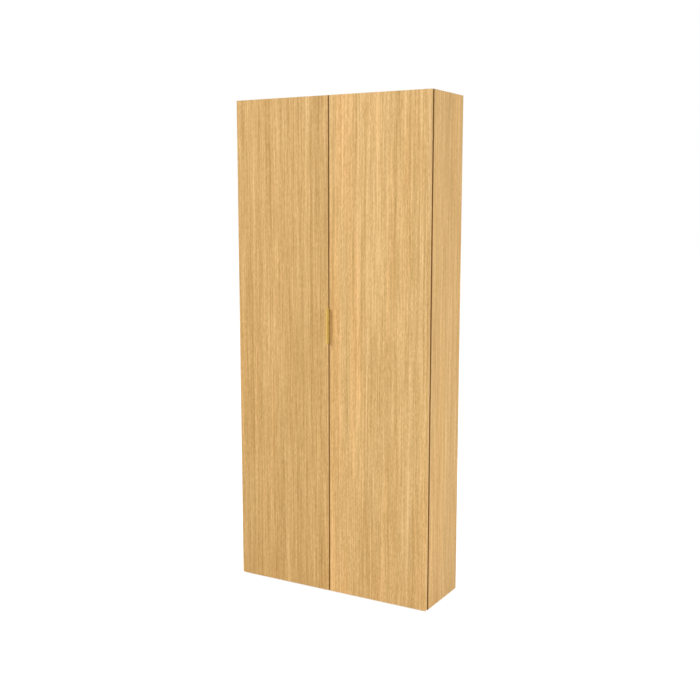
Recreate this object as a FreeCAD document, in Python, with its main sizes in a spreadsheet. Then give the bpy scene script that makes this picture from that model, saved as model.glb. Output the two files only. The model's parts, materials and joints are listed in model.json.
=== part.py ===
"""Broom cupboard: a tall two-door oak cupboard with a brass edge pull.

The frame is the cupboard's own: +X to the right, -Y to the front, +Z up, with the origin on the floor, under
the middle of the whole cupboard. All lengths are in millimetres.
"""

import FreeCAD
import Part
import Sketcher
import math
import os
import re

SIZES = {
    # Carcass
    "carcass_width": 900.0,
    "carcass_depth": 277.0,
    "carcass_height": 2060.0,
    "board_thickness": 18.0,
    "edge_round": 0.6,
    "back_thickness": 6.0,
    "back_overlap": 10.0,
    "back_play": 0.3,
    "fit_clearance": 0.1,
    # Doors
    "door_thickness": 18.0,
    "door_gap": 5.0,
    "door_inset": 0.5,
    "door_drop": 2.0,
    "door_rise": 3.0,
    "meeting_gap": 3.0,
    # Edge pull on the left door
    "pull_length": 146.0,
    "pull_height": 1135.0,
    "pull_thickness": 1.5,
    "pull_projection": 17.5,
    "pull_lip": 5.0,
    "pull_flange": 22.0,
    "pull_bend": 1.0,
    "pull_screw_length": 12.0,
    "pull_screw_end": 18.0,
    # Wood screws
    "screw_radius": 1.6,
    "screw_head_radius": 3.0,
    "screw_head_height": 1.1,
    "screw_play": 0.5,
    # Hinges
    "hinge_end": 110.0,
    "cup_radius": 17.5,
    "cup_depth": 12.5,
    "cup_wall": 0.8,
    "cup_edge": 3.0,
    "flange_thickness": 1.2,
    "flange_front": 4.0,
    "flange_rear": 14.0,
    "flange_length": 62.0,
    "cup_screw_pitch": 48.0,
    "cup_screw_offset": 6.0,
    "cup_screw_length": 13.0,
    "pin_edge": 9.0,
    "pin_sink": 8.5,
    "pin_radius": 1.5,
    "pin_clearance": 0.05,
    "barrel_radius": 2.8,
    "ear_thickness": 3.0,
    "ear_gap": 0.4,
    "ear_radius": 3.0,
    "arm_width": 12.0,
    "arm_start": 7.0,
    "arm_length": 63.0,
    "arm_depth": 5.0,
    "foot_thickness": 2.0,
    "neck_thickness": 2.0,
    "plate_thickness": 3.0,
    "plate_setback": 37.0,
    "plate_wing": 20.0,
    "plate_height": 48.0,
    "plate_screw_pitch": 32.0,
    "plate_screw_length": 16.0,
    "arm_screw_radius": 2.0,
    "arm_screw_head_radius": 3.2,
    "arm_screw_head_height": 1.6,
    "arm_screw_front": 10.0,
    "arm_screw_rear": 8.0,
    # Magnetic catches and bumpers
    "catch_centre": 60.0,
    "catch_length": 46.0,
    "catch_depth": 20.0,
    "catch_height": 13.0,
    "catch_clearance": 0.3,
    "catch_screw_pitch": 37.0,
    "catch_screw_length": 24.0,
    "magnet_length": 26.0,
    "magnet_depth": 12.0,
    "magnet_height": 7.0,
    "strike_length": 40.0,
    "strike_height": 12.0,
    "strike_thickness": 1.5,
    "spike_radius": 2.0,
    "spike_length": 9.0,
    "bumper_radius": 4.0,
    "bumper_clearance": 0.3,
    "bumper_inset": 20.0,
    # Shelves and their supports
    "shelf_setback": 25.0,
    "shelf_play": 0.5,
    "support_radius": 2.5,
    "support_hole_depth": 8.0,
    "support_pitch": 32.0,
    "support_front": 60.0,
    "support_rear": 37.0,
    "support_tab_length": 9.0,
    "support_tab_width": 9.0,
    "support_tab_thickness": 3.0,
    # Rails and pegs
    "rail_height": 60.0,
    "rail_thickness": 18.0,
    "rail_screw_pitch": 320.0,
    "fixing_radius": 3.0,
    "peg_rail_level": 1500.0,
    "peg_pitch": 100.0,
    "peg_radius": 6.0,
    "peg_length": 62.0,
    "peg_tenon": 12.0,
    "peg_knob_radius": 10.0,
    "peg_knob_length": 14.0,
    "peg_knob_flare": 9.0,
    # Dowels, cams and cam bolts
    "dowel_radius": 4.0,
    "dowel_side_depth": 11.0,
    "dowel_end_depth": 20.0,
    "dowel_play": 0.5,
    "cam_radius": 7.5,
    "cam_depth": 12.5,
    "cam_setback": 34.0,
    "cam_slot_length": 9.0,
    "cam_slot_width": 1.6,
    "cam_slot_depth": 2.0,
    "bolt_radius": 3.0,
    "bolt_thread_depth": 11.0,
    # Back screws and glides
    "back_screw_length": 20.0,
    "glide_height": 4.0,
    "glide_radius": 10.0,
    "glide_foot_radius": 8.5,
    "glide_side_inset": 60.0,
    "glide_end_inset": 30.0,
    "glide_nail_radius": 1.3,
    "glide_nail_length": 13.0,
}

SHELF_COUNT = 4
HINGE_COUNT = 4
SIDES = {"left": -1, "right": 1}
SUPPORT_STEPS = (-1, 0, 1)
PEG_STEPS = (-1.5, -0.5, 0.5, 1.5)
PULL_SCREW_STEPS = (-1, 0, 1)
PAIR_STEPS = (-0.5, 0.5)
DOWEL_DEPTH_SHARES = (0.18, 0.82)
CAM_DEPTH_SHARES = (0.32, 0.68)
BACK_SCREW_HEIGHT_SHARES = (0.04, 0.22, 0.4, 0.58, 0.76, 0.91)
BACK_SCREW_WIDTH_SHARES = (-0.36, -0.14, 0.14, 0.36)

# Planes and clear sizes, as formulas of the sizes above
BACK = "((carcass_depth + door_gap + door_thickness + pull_projection) / 2)"
FRONT = f"({BACK} - carcass_depth)"
DOOR_BACK = f"({FRONT} - door_gap)"
DOOR_FRONT = f"({DOOR_BACK} - door_thickness)"
BACK_INNER = f"({BACK} - back_thickness)"
UNDERSIDE = "glide_height"
INNER_FLOOR = f"({UNDERSIDE} + board_thickness)"
CEILING = f"({UNDERSIDE} + carcass_height - board_thickness)"
SIDE_INNER = "(carcass_width / 2 - board_thickness)"
INNER_DEPTH = "(carcass_depth - back_thickness)"
INNER_HEIGHT = "(carcass_height - 2 * board_thickness)"
BAY_WIDTH = f"({SIDE_INNER} - board_thickness / 2)"
BAY_CENTRE = f"(({SIDE_INNER} + board_thickness / 2) / 2)"
SHELF_SPACE = f"(({INNER_HEIGHT} - {SHELF_COUNT} * board_thickness) / {SHELF_COUNT + 1})"
DOOR_EDGE = "(carcass_width / 2 - door_inset)"
DOOR_WIDTH = f"({DOOR_EDGE} - meeting_gap / 2)"
DOOR_HEIGHT = "(carcass_height - door_drop - door_rise)"
DOOR_BOTTOM = f"({UNDERSIDE} + door_rise)"
FIXING_RAIL_BOTTOM = f"({CEILING} - rail_height)"
PEG_RAIL_BOTTOM = f"({UNDERSIDE} + peg_rail_level - rail_height / 2)"
STRIKE_LEVEL = f"({CEILING} - catch_height / 2)"
CATCH_FRONT = f"({DOOR_BACK} + strike_thickness + catch_clearance)"

# Hinge places, measured inwards from the door's outer edge and backwards from the door's back
CUP_CENTRE = "(cup_edge + cup_radius)"
PLATE_SEAT = "(board_thickness - door_inset)"
ARM_SEAT = f"({PLATE_SEAT} + plate_thickness)"
ARM_FACE = f"({ARM_SEAT} + arm_depth)"
ARM_END = "(arm_start + arm_length)"
PLATE_LINE = "(door_gap + plate_setback)"
PIN_LENGTH = "(arm_width + 2 * (ear_gap + ear_thickness))"

doc = FreeCAD.newDocument("broom_cupboard")
pieces = []


def make_sheet():
    """Writes the driving dimensions into the document's spreadsheet."""
    sheet = doc.addObject("Spreadsheet::Sheet", "Sizes")
    for row, (alias, value) in enumerate(SIZES.items(), start=1):
        sheet.set(f"A{row}", alias)
        sheet.set(f"B{row}", str(value))
        sheet.setAlias(f"B{row}", alias)
    doc.recompute()


def formula(text):
    """Puts the sheet's name before each size that a formula names."""
    return re.sub(r"[a-z]\w*", lambda word: f"Sizes.{word[0]}" if word[0] in SIZES else word[0], text)


def bind(thing, **formulas):
    """Ties properties of an object to formulas."""
    for name, text in formulas.items():
        thing.setExpression(name, formula(text))
    return thing


def place(thing, x="0", y="0", z="0"):
    """Ties an object's place to formulas."""
    for axis, text in zip("xyz", (x, y, z)):
        thing.setExpression(f"Placement.Base.{axis}", formula(text))
    return thing


def piece(thing):
    """Keeps an object as one of the cupboard's pieces."""
    pieces.append(thing)
    return thing


def turned(axis):
    """The rotation that takes an upright axis to +x, -x, +y, -y, +z or -z."""
    directions = {"x": (1, 0, 0), "y": (0, 1, 0), "z": (0, 0, 1)}
    way = FreeCAD.Vector(*directions[axis[1]]) * (1 if axis[0] == "+" else -1)
    return FreeCAD.Rotation(FreeCAD.Vector(0, 0, 1), way)


def box(name, x, y, z, length, width, height):
    """A block with x at its middle, and y and z at its front and underside."""
    block = bind(doc.addObject("Part::Box", name), Length=length, Width=width, Height=height)
    return place(block, f"{x} - ({length}) / 2", y, z)


def rod(name, axis, x, y, z, radius, length):
    """A cylinder that starts at a point and runs along an axis."""
    cylinder = bind(doc.addObject("Part::Cylinder", name), Radius=radius, Height=length)
    cylinder.Placement.Rotation = turned(axis)
    return place(cylinder, x, y, z)


def taper(name, axis, x, y, z, start_radius, end_radius, length):
    """A cone that starts at a point and runs along an axis."""
    cone = bind(doc.addObject("Part::Cone", name), Radius1=start_radius, Radius2=end_radius, Height=length)
    cone.Placement.Rotation = turned(axis)
    return place(cone, x, y, z)


def group(name, members):
    """Several separate solids under one name."""
    compound = doc.addObject("Part::Compound", name)
    compound.Links = members
    return compound


def fuse(name, members):
    """Several overlapping or touching solids joined into one."""
    joined = doc.addObject("Part::MultiFuse", name)
    joined.Shapes = members
    joined.Refine = True
    return joined


def cut(name, base, tools):
    """A solid with tools, which stay clear of each other, taken out of it."""
    result = doc.addObject("Part::Cut", name)
    result.Base = base
    result.Tool = group(f"{name}_cuts", tools)
    return result


def copies(name, source, places):
    """Copies of one solid at several places, as a list."""
    result = []
    for x, y, z in places:
        copy = doc.addObject("App::Link", name)
        copy.LinkedObject = source
        copy.LinkTransform = True
        result.append(place(copy, x, y, z))
    return result


def origin_plane(body, role):
    """One of a body's own origin planes."""
    return next(feature for feature in body.Origin.OriginFeatures if feature.Role == role)


def new_sketch(body, name, role):
    """An empty sketch on one of a body's origin planes."""
    sketch = body.newObject("Sketcher::SketchObject", name)
    sketch.AttachmentSupport = [(origin_plane(body, role), "")]
    sketch.MapMode = "FlatFace"
    return sketch


def pin_point(sketch, element, point, x, y):
    """Ties one point of a sketch to its place, measured from the sketch's origin."""
    for kind, text in (("DistanceX", x), ("DistanceY", y)):
        index = sketch.addConstraint(Sketcher.Constraint(kind, -1, 1, element, point, 1.0))
        sketch.setExpression(f"Constraints[{index}]", formula(text))


def outline_sketch(body, name, role, points):
    """A closed sketch with straight sides through points that are given as formulas."""
    sketch = new_sketch(body, name, role)
    count = len(points)
    turn = 2 * math.pi / count
    corners = [FreeCAD.Vector(math.cos(i * turn), math.sin(i * turn), 0) for i in range(count)]
    for i in range(count):
        sketch.addGeometry(Part.LineSegment(corners[i], corners[(i + 1) % count]), False)
    for i in range(count):
        sketch.addConstraint(Sketcher.Constraint("Coincident", i, 2, (i + 1) % count, 1))
    for i, (x, y) in enumerate(points):
        pin_point(sketch, i, 1, x, y)
    return sketch


def circle_sketch(body, name, role, circles):
    """A sketch of circles, each with its centre and radius given as formulas."""
    sketch = new_sketch(body, name, role)
    for i, (x, y, radius) in enumerate(circles):
        sketch.addGeometry(Part.Circle(FreeCAD.Vector(i, 0, 0), FreeCAD.Vector(0, 0, 1), 1), False)
        pin_point(sketch, i, 3, x, y)
        index = sketch.addConstraint(Sketcher.Constraint("Radius", i, 1.0))
        sketch.setExpression(f"Constraints[{index}]", formula(radius))
    return sketch


def pad(body, sketch, length, middle=False):
    """Thickens a sketch, to one side of it or to both alike."""
    feature = body.newObject("PartDesign::Pad", "pad")
    feature.Profile = sketch
    feature.Midplane = middle
    return bind(feature, Length=length)


def pocket(body, sketch, depth):
    """Cuts a sketch into a body to both sides alike, and checks that the cut took something away."""
    doc.recompute()
    before = body.Shape.Volume
    feature = body.newObject("PartDesign::Pocket", "pocket")
    feature.Profile = sketch
    feature.Midplane = True
    bind(feature, Length=depth)
    doc.recompute()
    if body.Shape.Volume >= before:
        raise ValueError(f"a pocket of {body.Label} cuts nothing")
    return feature


def round_all(body, feature):
    """Rounds every edge that a body's feature has."""
    doc.recompute()
    rounding = body.newObject("PartDesign::Fillet", "rounding")
    rounding.Base = (feature, [f"Edge{i + 1}" for i in range(len(feature.Shape.Edges))])
    return bind(rounding, Radius="edge_round")


def board(name, x, y, z, length, width, height):
    """A board with softened edges, with x at its middle, and y and z at its front and underside."""
    body = doc.addObject("PartDesign::Body", name)
    half = f"({length}) / 2"
    corners = [(f"-{half}", "0"), (half, "0"), (half, width), (f"-{half}", width)]
    round_all(body, pad(body, outline_sketch(body, f"{name}_outline", "XY_Plane", corners), height))
    return place(body, x, y, z)


def hinge_level(number):
    """The height of a hinge, counted from the lowest."""
    pitch = f"({DOOR_HEIGHT} - 2 * hinge_end) / {HINGE_COUNT - 1}"
    return f"({DOOR_BOTTOM} + hinge_end + {number} * {pitch})"


def shelf_level(number):
    """The height of a shelf's underside, counted from 1 at the lowest."""
    return f"({INNER_FLOOR} + {number} * {SHELF_SPACE} + {number - 1} * board_thickness)"


def depth_at(share):
    """A place between the carcass's front and the back panel."""
    return f"({FRONT} + {share} * {INNER_DEPTH})"


def screws(axis, places, length):
    """Countersunk wood screws with their heads' faces at some places, pointing along an axis."""
    head = taper("head", axis, "0", "0", "0", "screw_head_radius", "screw_radius", "screw_head_height")
    shank = rod("shank", axis, "0", "0", "0", "screw_radius", length)
    return copies("screw", fuse("first_screw", [head, shank]), places)


def screw_holes(axis, places, length):
    """The room of countersunk wood screws, a clearance wider all round and a little deeper."""
    throat, mouth = "screw_radius + fit_clearance", "screw_head_radius + fit_clearance"
    head = taper("head_room", axis, "0", "0", "0", mouth, throat, "screw_head_height")
    shank = rod("shank_room", axis, "0", "0", "0", throat, f"{length} + screw_play")
    return copies("screw_hole", fuse("first_screw_hole", [head, shank]), places)


def support_places(levels, steps):
    """Where the supports of some shelves go on a wall, with a place for every step up or down."""
    rows = (f"({FRONT} + support_front)", f"({BACK_INNER} - support_rear)")
    return [
        (y, f"({shelf_level(level)} - support_radius + {step} * support_pitch)")
        for level in levels for y in rows for step in steps
    ]


def support_holes(levels, x, axis):
    """The holes for shelf supports in one wall."""
    first = rod("support_bore", axis, x, "0", "0", "support_radius + fit_clearance", "support_hole_depth")
    places = [("0", y, z) for y, z in support_places(levels, SUPPORT_STEPS)]
    return copies("support_hole", first, places)


def plate_screw_places(side):
    """Where the screws of a side's hinge plates go into the side panel."""
    sign = SIDES[side]
    return [
        (f"{sign} * ({DOOR_EDGE} - {ARM_SEAT})", f"{DOOR_BACK} + {PLATE_LINE}",
         f"{hinge_level(number)} + {step} * plate_screw_pitch")
        for number in range(HINGE_COUNT) for step in PAIR_STEPS
    ]


def back_screw_places():
    """Where the back panel's screws go, over the sides, partition, top, bottom and rails."""
    over_side = f"({SIDE_INNER} + back_overlap / 2)"
    over_floor = f"({INNER_FLOOR} - back_overlap / 2)"
    over_ceiling = f"({CEILING} + back_overlap / 2)"
    places = [
        (x, f"{UNDERSIDE} + {share} * carcass_height")
        for x in (f"-{over_side}", "0", over_side) for share in BACK_SCREW_HEIGHT_SHARES
    ]
    places += [
        (f"{share} * carcass_width", z)
        for z in (over_floor, over_ceiling) for share in BACK_SCREW_WIDTH_SHARES
    ]
    rails = [(sign, FIXING_RAIL_BOTTOM) for sign in SIDES.values()] + [(SIDES["left"], PEG_RAIL_BOTTOM)]
    places += [
        (f"{sign} * {BAY_CENTRE} + {step} * rail_screw_pitch", f"{bottom} + rail_height / 2")
        for sign, bottom in rails for step in PAIR_STEPS
    ]
    return [(x, BACK, z) for x, z in places]


def joint_places(shares):
    """Corners where the top and bottom meet the sides, with a place along each for every share."""
    return [
        (sign, depth_at(share), level)
        for level in (UNDERSIDE, CEILING) for sign in SIDES.values() for share in shares
    ]


def end_rods(name, shares, radius, outer, inner):
    """Rods that cross from the side panels into the ends of the top and bottom."""
    return [
        rod(name, "-x" if sign > 0 else "+x", f"{sign} * ({SIDE_INNER} + {outer})", y,
            f"{level} + board_thickness / 2", radius, f"{outer} + {inner}")
        for sign, y, level in joint_places(shares)
    ]


def dowel_rods(name, radius, play):
    """The dowels of the top and bottom, or their holes where there is play."""
    outer, inner = f"(dowel_side_depth + {play})", f"(dowel_end_depth + {play})"
    rods = end_rods(name, DOWEL_DEPTH_SHARES, radius, outer, inner)
    for level, side_depth, end_depth in ((INNER_FLOOR, outer, inner), (CEILING, inner, outer)):
        for share in DOWEL_DEPTH_SHARES:
            rods.append(rod(name, "+z", "0", depth_at(share), f"{level} - {side_depth}", radius,
                            f"{outer} + {inner}"))
    return rods


def cam_discs(name, radius, depth):
    """The cams in the undersides of the top and bottom, or the holes that take them."""
    return [
        rod(name, "+z", f"{sign} * ({SIDE_INNER} - cam_setback)", y, level, radius, depth)
        for sign, y, level in joint_places(CAM_DEPTH_SHARES)
    ]


def make_carcass():
    """The boards of the carcass, with every hole and rebate that its joints and fittings need."""
    dowel_holes = dowel_rods("dowel_hole", "dowel_radius + fit_clearance", "dowel_play")
    bolt_holes = end_rods("bolt_hole", CAM_DEPTH_SHARES, "bolt_radius + fit_clearance", "bolt_thread_depth",
                          "cam_setback")
    cam_holes = cam_discs("cam_hole", "cam_radius + fit_clearance", "cam_depth")
    rebate = box("rebate", "0", BACK_INNER, f"{INNER_FLOOR} - back_overlap",
                 f"2 * ({SIDE_INNER} + back_overlap)", "back_thickness",
                 f"{INNER_HEIGHT} + 2 * back_overlap")
    back_holes = screw_holes("-y", back_screw_places(), "back_screw_length")
    nail_hole = rod("nail_hole", "+z", "0", "0", "0", "glide_nail_radius + fit_clearance",
                    "glide_nail_length")
    glide_holes = copies("glide_hole", nail_hole, glide_places())
    catch_holes = screw_holes("+z", catch_screw_places(), "catch_screw_length")

    for side, sign in SIDES.items():
        middle = f"{sign} * (carcass_width - board_thickness) / 2"
        blank = board(f"side_panel_{side}_blank", middle, FRONT, UNDERSIDE, "board_thickness",
                      "carcass_depth", "carcass_height")
        levels = range(1, SHELF_COUNT + 1) if side == "right" else (SHELF_COUNT,)
        outward = "+x" if sign > 0 else "-x"
        tools = support_holes(levels, f"{sign} * {SIDE_INNER}", outward)
        tools += screw_holes(outward, plate_screw_places(side), "plate_screw_length")
        holed = cut(f"side_panel_{side}_holed", blank, tools + dowel_holes + bolt_holes)
        rebated = cut(f"side_panel_{side}_rebated", holed, [rebate])
        piece(cut(f"side_panel_{side}", rebated, back_holes))

    panels = (("top_panel", CEILING, catch_holes), ("bottom_panel", UNDERSIDE, glide_holes))
    for name, level, own_holes in panels:
        blank = board(f"{name}_blank", "0", FRONT, level, f"2 * {SIDE_INNER}", "carcass_depth",
                      "board_thickness")
        holed = cut(f"{name}_holed", blank, dowel_holes + own_holes)
        bolted = cut(f"{name}_bolted", holed, bolt_holes)
        cammed = cut(f"{name}_cammed", bolted, cam_holes)
        rebated = cut(f"{name}_rebated", cammed, [rebate])
        piece(cut(name, rebated, back_holes))

    blank = board("centre_partition_blank", "0", FRONT, INNER_FLOOR, "board_thickness", INNER_DEPTH,
                  INNER_HEIGHT)
    tools = support_holes(range(1, SHELF_COUNT + 1), "board_thickness / 2", "-x")
    tools += support_holes((SHELF_COUNT,), "-board_thickness / 2", "+x")
    piece(cut("centre_partition", blank, tools + dowel_holes + back_holes))

    fixing_holes = [
        rod("fixing_hole", "-y", f"{sign} * {BAY_CENTRE}", BACK, f"{FIXING_RAIL_BOTTOM} + rail_height / 2",
            "fixing_radius", "back_thickness + rail_thickness")
        for sign in SIDES.values()
    ]
    panel = box("back_panel_blank", "0", BACK_INNER, f"{INNER_FLOOR} - back_overlap + back_play",
                f"2 * ({SIDE_INNER} + back_overlap - back_play)", "back_thickness",
                f"{INNER_HEIGHT} + 2 * (back_overlap - back_play)")
    piece(cut("back_panel", panel, back_holes + fixing_holes))
    piece(group("back_screws", screws("-y", back_screw_places(), "back_screw_length")))

    rail_y = f"{BACK_INNER} - rail_thickness"
    for side, sign in SIDES.items():
        rail = box(f"fixing_rail_{side}_blank", f"{sign} * {BAY_CENTRE}", rail_y, FIXING_RAIL_BOTTOM,
                   BAY_WIDTH, "rail_thickness", "rail_height")
        piece(cut(f"fixing_rail_{side}", rail, back_holes + fixing_holes))
    make_peg_rail(rail_y, back_holes)


def make_peg_rail(rail_y, back_holes):
    """The rail across the back of the broom bay, and its turned pegs."""
    centre = f"({SIDES['left']} * {BAY_CENTRE})"
    axis_level = f"{PEG_RAIL_BOTTOM} + rail_height / 2"
    peg_xs = [f"{centre} + {step} * peg_pitch" for step in PEG_STEPS]
    rail = board("peg_rail_blank", centre, rail_y, PEG_RAIL_BOTTOM, BAY_WIDTH, "rail_thickness",
                 "rail_height")
    sockets = [
        rod("peg_socket", "+y", x, rail_y, axis_level, "peg_radius + fit_clearance", "peg_tenon")
        for x in peg_xs
    ]
    piece(cut("peg_rail", rail, back_holes + sockets))
    shank_end = "(peg_knob_length - peg_length)"
    shank = rod("peg_shank", "-y", "0", "peg_tenon", "0", "peg_radius", f"peg_tenon - {shank_end}")
    flare = taper("peg_flare", "-y", "0", shank_end, "0", "peg_radius", "peg_knob_radius", "peg_knob_flare")
    face = taper("peg_face", "-y", "0", f"{shank_end} - peg_knob_flare", "0", "peg_knob_radius",
                 "peg_radius", "peg_knob_length - peg_knob_flare")
    peg = fuse("peg_first", [shank, flare, face])
    piece(group("pegs", copies("peg", peg, [(x, rail_y, axis_level) for x in peg_xs])))


def make_joinery():
    """The dowels, cam bolts and cams that hold the carcass together."""
    piece(group("dowels", dowel_rods("dowel", "dowel_radius", "0")))
    bolts = end_rods("cam_bolt", CAM_DEPTH_SHARES, "bolt_radius", "(bolt_thread_depth - fit_clearance)",
                     "cam_setback - fit_clearance")
    piece(group("cam_bolts", bolts))
    slots = [
        box("cam_slot", f"{sign} * ({SIDE_INNER} - cam_setback)", f"{y} - cam_slot_width / 2", level,
            "cam_slot_length", "cam_slot_width", "cam_slot_depth")
        for sign, y, level in joint_places(CAM_DEPTH_SHARES)
    ]
    seats = end_rods("cam_seat", CAM_DEPTH_SHARES, "bolt_radius + fit_clearance", "0", "cam_setback")
    discs = group("cam_discs", cam_discs("cam_disc", "cam_radius", "cam_depth - fit_clearance"))
    piece(cut("cams", discs, slots + seats))


def make_shelves():
    """The shelves and the supports that carry them."""
    bays = {"left": (SHELF_COUNT,), "right": range(1, SHELF_COUNT + 1)}
    supports = []
    for side, levels in bays.items():
        sign = SIDES[side]
        for level in levels:
            piece(board(f"shelf_{side}_{level}", f"{sign} * {BAY_CENTRE}", f"{FRONT} + shelf_setback",
                        shelf_level(level), f"{BAY_WIDTH} - 2 * shelf_play",
                        f"{INNER_DEPTH} - shelf_setback - shelf_play", "board_thickness"))
        for wall, way in ((f"{sign} * {SIDE_INNER}", -sign), (f"{sign} * board_thickness / 2", sign)):
            stem = rod("support_stem", "+x" if way < 0 else "-x", wall, "0", "0", "support_radius",
                       "support_hole_depth - fit_clearance")
            tab = box("support_tab", f"{wall} + {way} * support_tab_length / 2", "-support_tab_width / 2",
                      "support_radius - support_tab_thickness", "support_tab_length", "support_tab_width",
                      "support_tab_thickness")
            support = fuse("support_first", [stem, tab])
            supports += copies("support", support, [("0", y, z) for y, z in support_places(levels, (0,))])
    piece(group("shelf_supports", supports))


def glide_places():
    """Where the glides are nailed under the bottom panel."""
    across = f"({SIDE_INNER} - glide_side_inset)"
    rows = (f"{FRONT} + glide_end_inset", f"{BACK} - glide_end_inset")
    return [(x, y, UNDERSIDE) for x in (f"-{across}", "0", across) for y in rows]


def make_glides():
    """The glides that the cupboard stands on."""
    disc = taper("glide_disc", "-z", "0", "0", "0", "glide_radius", "glide_foot_radius", "glide_height")
    nail = rod("glide_nail", "+z", "0", "0", "0", "glide_nail_radius", "glide_nail_length - fit_clearance")
    piece(group("glides", copies("glide", fuse("glide_first", [disc, nail]), glide_places())))


def cup_screw_places(sign, numbers):
    """Where the cup screws of some hinges of one door go, on the cups' wings."""
    return [
        (f"{sign} * ({DOOR_EDGE} - {CUP_CENTRE} - cup_screw_offset)", f"{DOOR_BACK} + flange_thickness",
         f"{hinge_level(number)} + {step} * cup_screw_pitch")
        for number in numbers for step in PAIR_STEPS
    ]


def pull_screw_places():
    """Where the screws of the edge pull go into the left door's back."""
    x, y = "-meeting_gap / 2 - pull_flange / 2", f"{DOOR_BACK} + pull_thickness"
    reach = "(pull_length / 2 - pull_screw_end)"
    return [(x, y, f"{UNDERSIDE} + pull_height + {step} * {reach}") for step in PULL_SCREW_STEPS]


def make_door(side):
    """One door: a slab with softened edges, bored for its hinge cups, screws and strike plate."""
    sign = SIDES[side]
    slab = board(f"door_{side}_slab", f"{sign} * ({DOOR_EDGE} - {DOOR_WIDTH} / 2)", DOOR_FRONT, DOOR_BOTTOM,
                 DOOR_WIDTH, "door_thickness", DOOR_HEIGHT)
    cups = [
        rod("cup_bore", "-y", f"{sign} * ({DOOR_EDGE} - {CUP_CENTRE})", DOOR_BACK, hinge_level(number),
            "cup_radius + fit_clearance", "cup_depth + fit_clearance")
        for number in range(HINGE_COUNT)
    ]
    strike_x = f"{sign} * catch_centre"
    holes = screw_holes("-y", cup_screw_places(sign, range(HINGE_COUNT)), "cup_screw_length")
    holes.append(rod("spike_hole", "-y", strike_x, DOOR_BACK, STRIKE_LEVEL, "spike_radius + fit_clearance",
                     "spike_length + screw_play"))
    if side == "left":
        holes += screw_holes("-y", pull_screw_places(), "pull_screw_length")
    piece(cut(f"door_{side}", slab, cups + holes))

    spike = rod("strike_spike", "-y", strike_x, DOOR_BACK, STRIKE_LEVEL, "spike_radius", "spike_length")
    plate = box("strike_sheet", strike_x, DOOR_BACK, f"{STRIKE_LEVEL} - strike_height / 2", "strike_length",
                "strike_thickness", "strike_height")
    piece(fuse(f"strike_plate_{side}", [plate, spike]))

    bumpers = [
        rod(f"bumper_{side}", "+y", f"{sign} * (meeting_gap / 2 + bumper_inset)", DOOR_BACK,
            f"{level} + board_thickness / 2", "bumper_radius", "door_gap - bumper_clearance")
        for level in (UNDERSIDE, CEILING)
    ]
    piece(group(f"bumpers_{side}", bumpers))


def make_edge_pull():
    """The brass strip bent round the left door's meeting edge, and its screws."""
    body = doc.addObject("PartDesign::Body", "edge_pull_strip")
    tip = "(-door_thickness - pull_projection)"
    profile = [
        ("-pull_flange", "0"), ("0", "0"), ("0", f"{tip} + pull_thickness"),
        ("pull_thickness - pull_lip", f"{tip} + pull_thickness"), ("pull_thickness - pull_lip", tip),
        ("pull_thickness", tip), ("pull_thickness", "pull_thickness"), ("-pull_flange", "pull_thickness"),
    ]
    sketch = outline_sketch(body, "edge_pull_profile", "XY_Plane", profile)
    strip = pad(body, sketch, "pull_length", middle=True)
    doc.recompute()
    bends = []
    for number, edge in enumerate(strip.Shape.Edges, start=1):
        upright = abs(edge.tangentAt(edge.FirstParameter).z) > 0.5
        middle = edge.CenterOfMass
        if upright and math.isclose(middle.x, SIZES["pull_thickness"]):
            bends.append(f"Edge{number}")
    rounding = body.newObject("PartDesign::Fillet", "bends")
    rounding.Base = (strip, bends)
    bind(rounding, Radius="pull_bend")
    place(body, "-meeting_gap / 2", DOOR_BACK, f"{UNDERSIDE} + pull_height")
    piece(cut("edge_pull", body, screw_holes("-y", pull_screw_places(), "pull_screw_length")))
    piece(group("pull_screws", screws("-y", pull_screw_places(), "pull_screw_length")))


def hinge_place(body, sign, number):
    """Puts a hinge piece at the door's outer edge, on the door's back, at its hinge's height."""
    return place(body, f"{sign} * {DOOR_EDGE}", DOOR_BACK, hinge_level(number))


def inwards(sign, text):
    """A distance inwards from the door's outer edge, as a place along x."""
    return f"{-sign} * ({text})"


def make_hinge_arm(side, number):
    """A hinge arm: a barrel on the pin, a foot across the cup, a neck out of it and a bar along the side."""
    sign = SIDES[side]
    foot_top = "(foot_thickness / 2 - pin_sink)"
    foot_bottom = "(-foot_thickness / 2 - pin_sink)"
    neck = f"({ARM_FACE} - neck_thickness)"
    profile = [
        ("pin_edge", foot_bottom), (ARM_FACE, foot_bottom), (ARM_FACE, ARM_END), (ARM_SEAT, ARM_END),
        (ARM_SEAT, "arm_start"), (neck, "arm_start"), (neck, foot_top), ("pin_edge", foot_top),
    ]
    body = doc.addObject("PartDesign::Body", f"hinge_arm_{side}_{number + 1}_bar")
    points = [(inwards(sign, x), y) for x, y in profile]
    pad(body, outline_sketch(body, "arm_profile", "XY_Plane", points), "arm_width", middle=True)
    barrel = [(inwards(sign, "pin_edge"), "-pin_sink", "barrel_radius")]
    pad(body, circle_sketch(body, "barrel", "XY_Plane", barrel), "arm_width", middle=True)
    bore = [(inwards(sign, "pin_edge"), "-pin_sink", "pin_radius + pin_clearance")]
    pocket(body, circle_sketch(body, "barrel_bore", "XY_Plane", bore), "2 * arm_width")
    hinge_place(body, sign, number)
    holes = [rod("arm_screw_hole", "+x" if sign > 0 else "-x", *spot, "arm_screw_radius + fit_clearance",
                 "arm_depth") for spot in arm_screw_places(side, (number,))]
    piece(cut(f"hinge_arm_{side}_{number + 1}", body, holes))


def arm_screw_places(side, numbers):
    """Where the adjusting and fixing screws of some hinge arms sit, on the arm's face."""
    sign = SIDES[side]
    lines = ("(arm_start + arm_screw_front)", f"({ARM_END} - arm_screw_rear)")
    return [
        (f"{sign} * ({DOOR_EDGE} - {ARM_FACE})", f"{DOOR_BACK} + {line}", hinge_level(number))
        for number in numbers for line in lines
    ]


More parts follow.
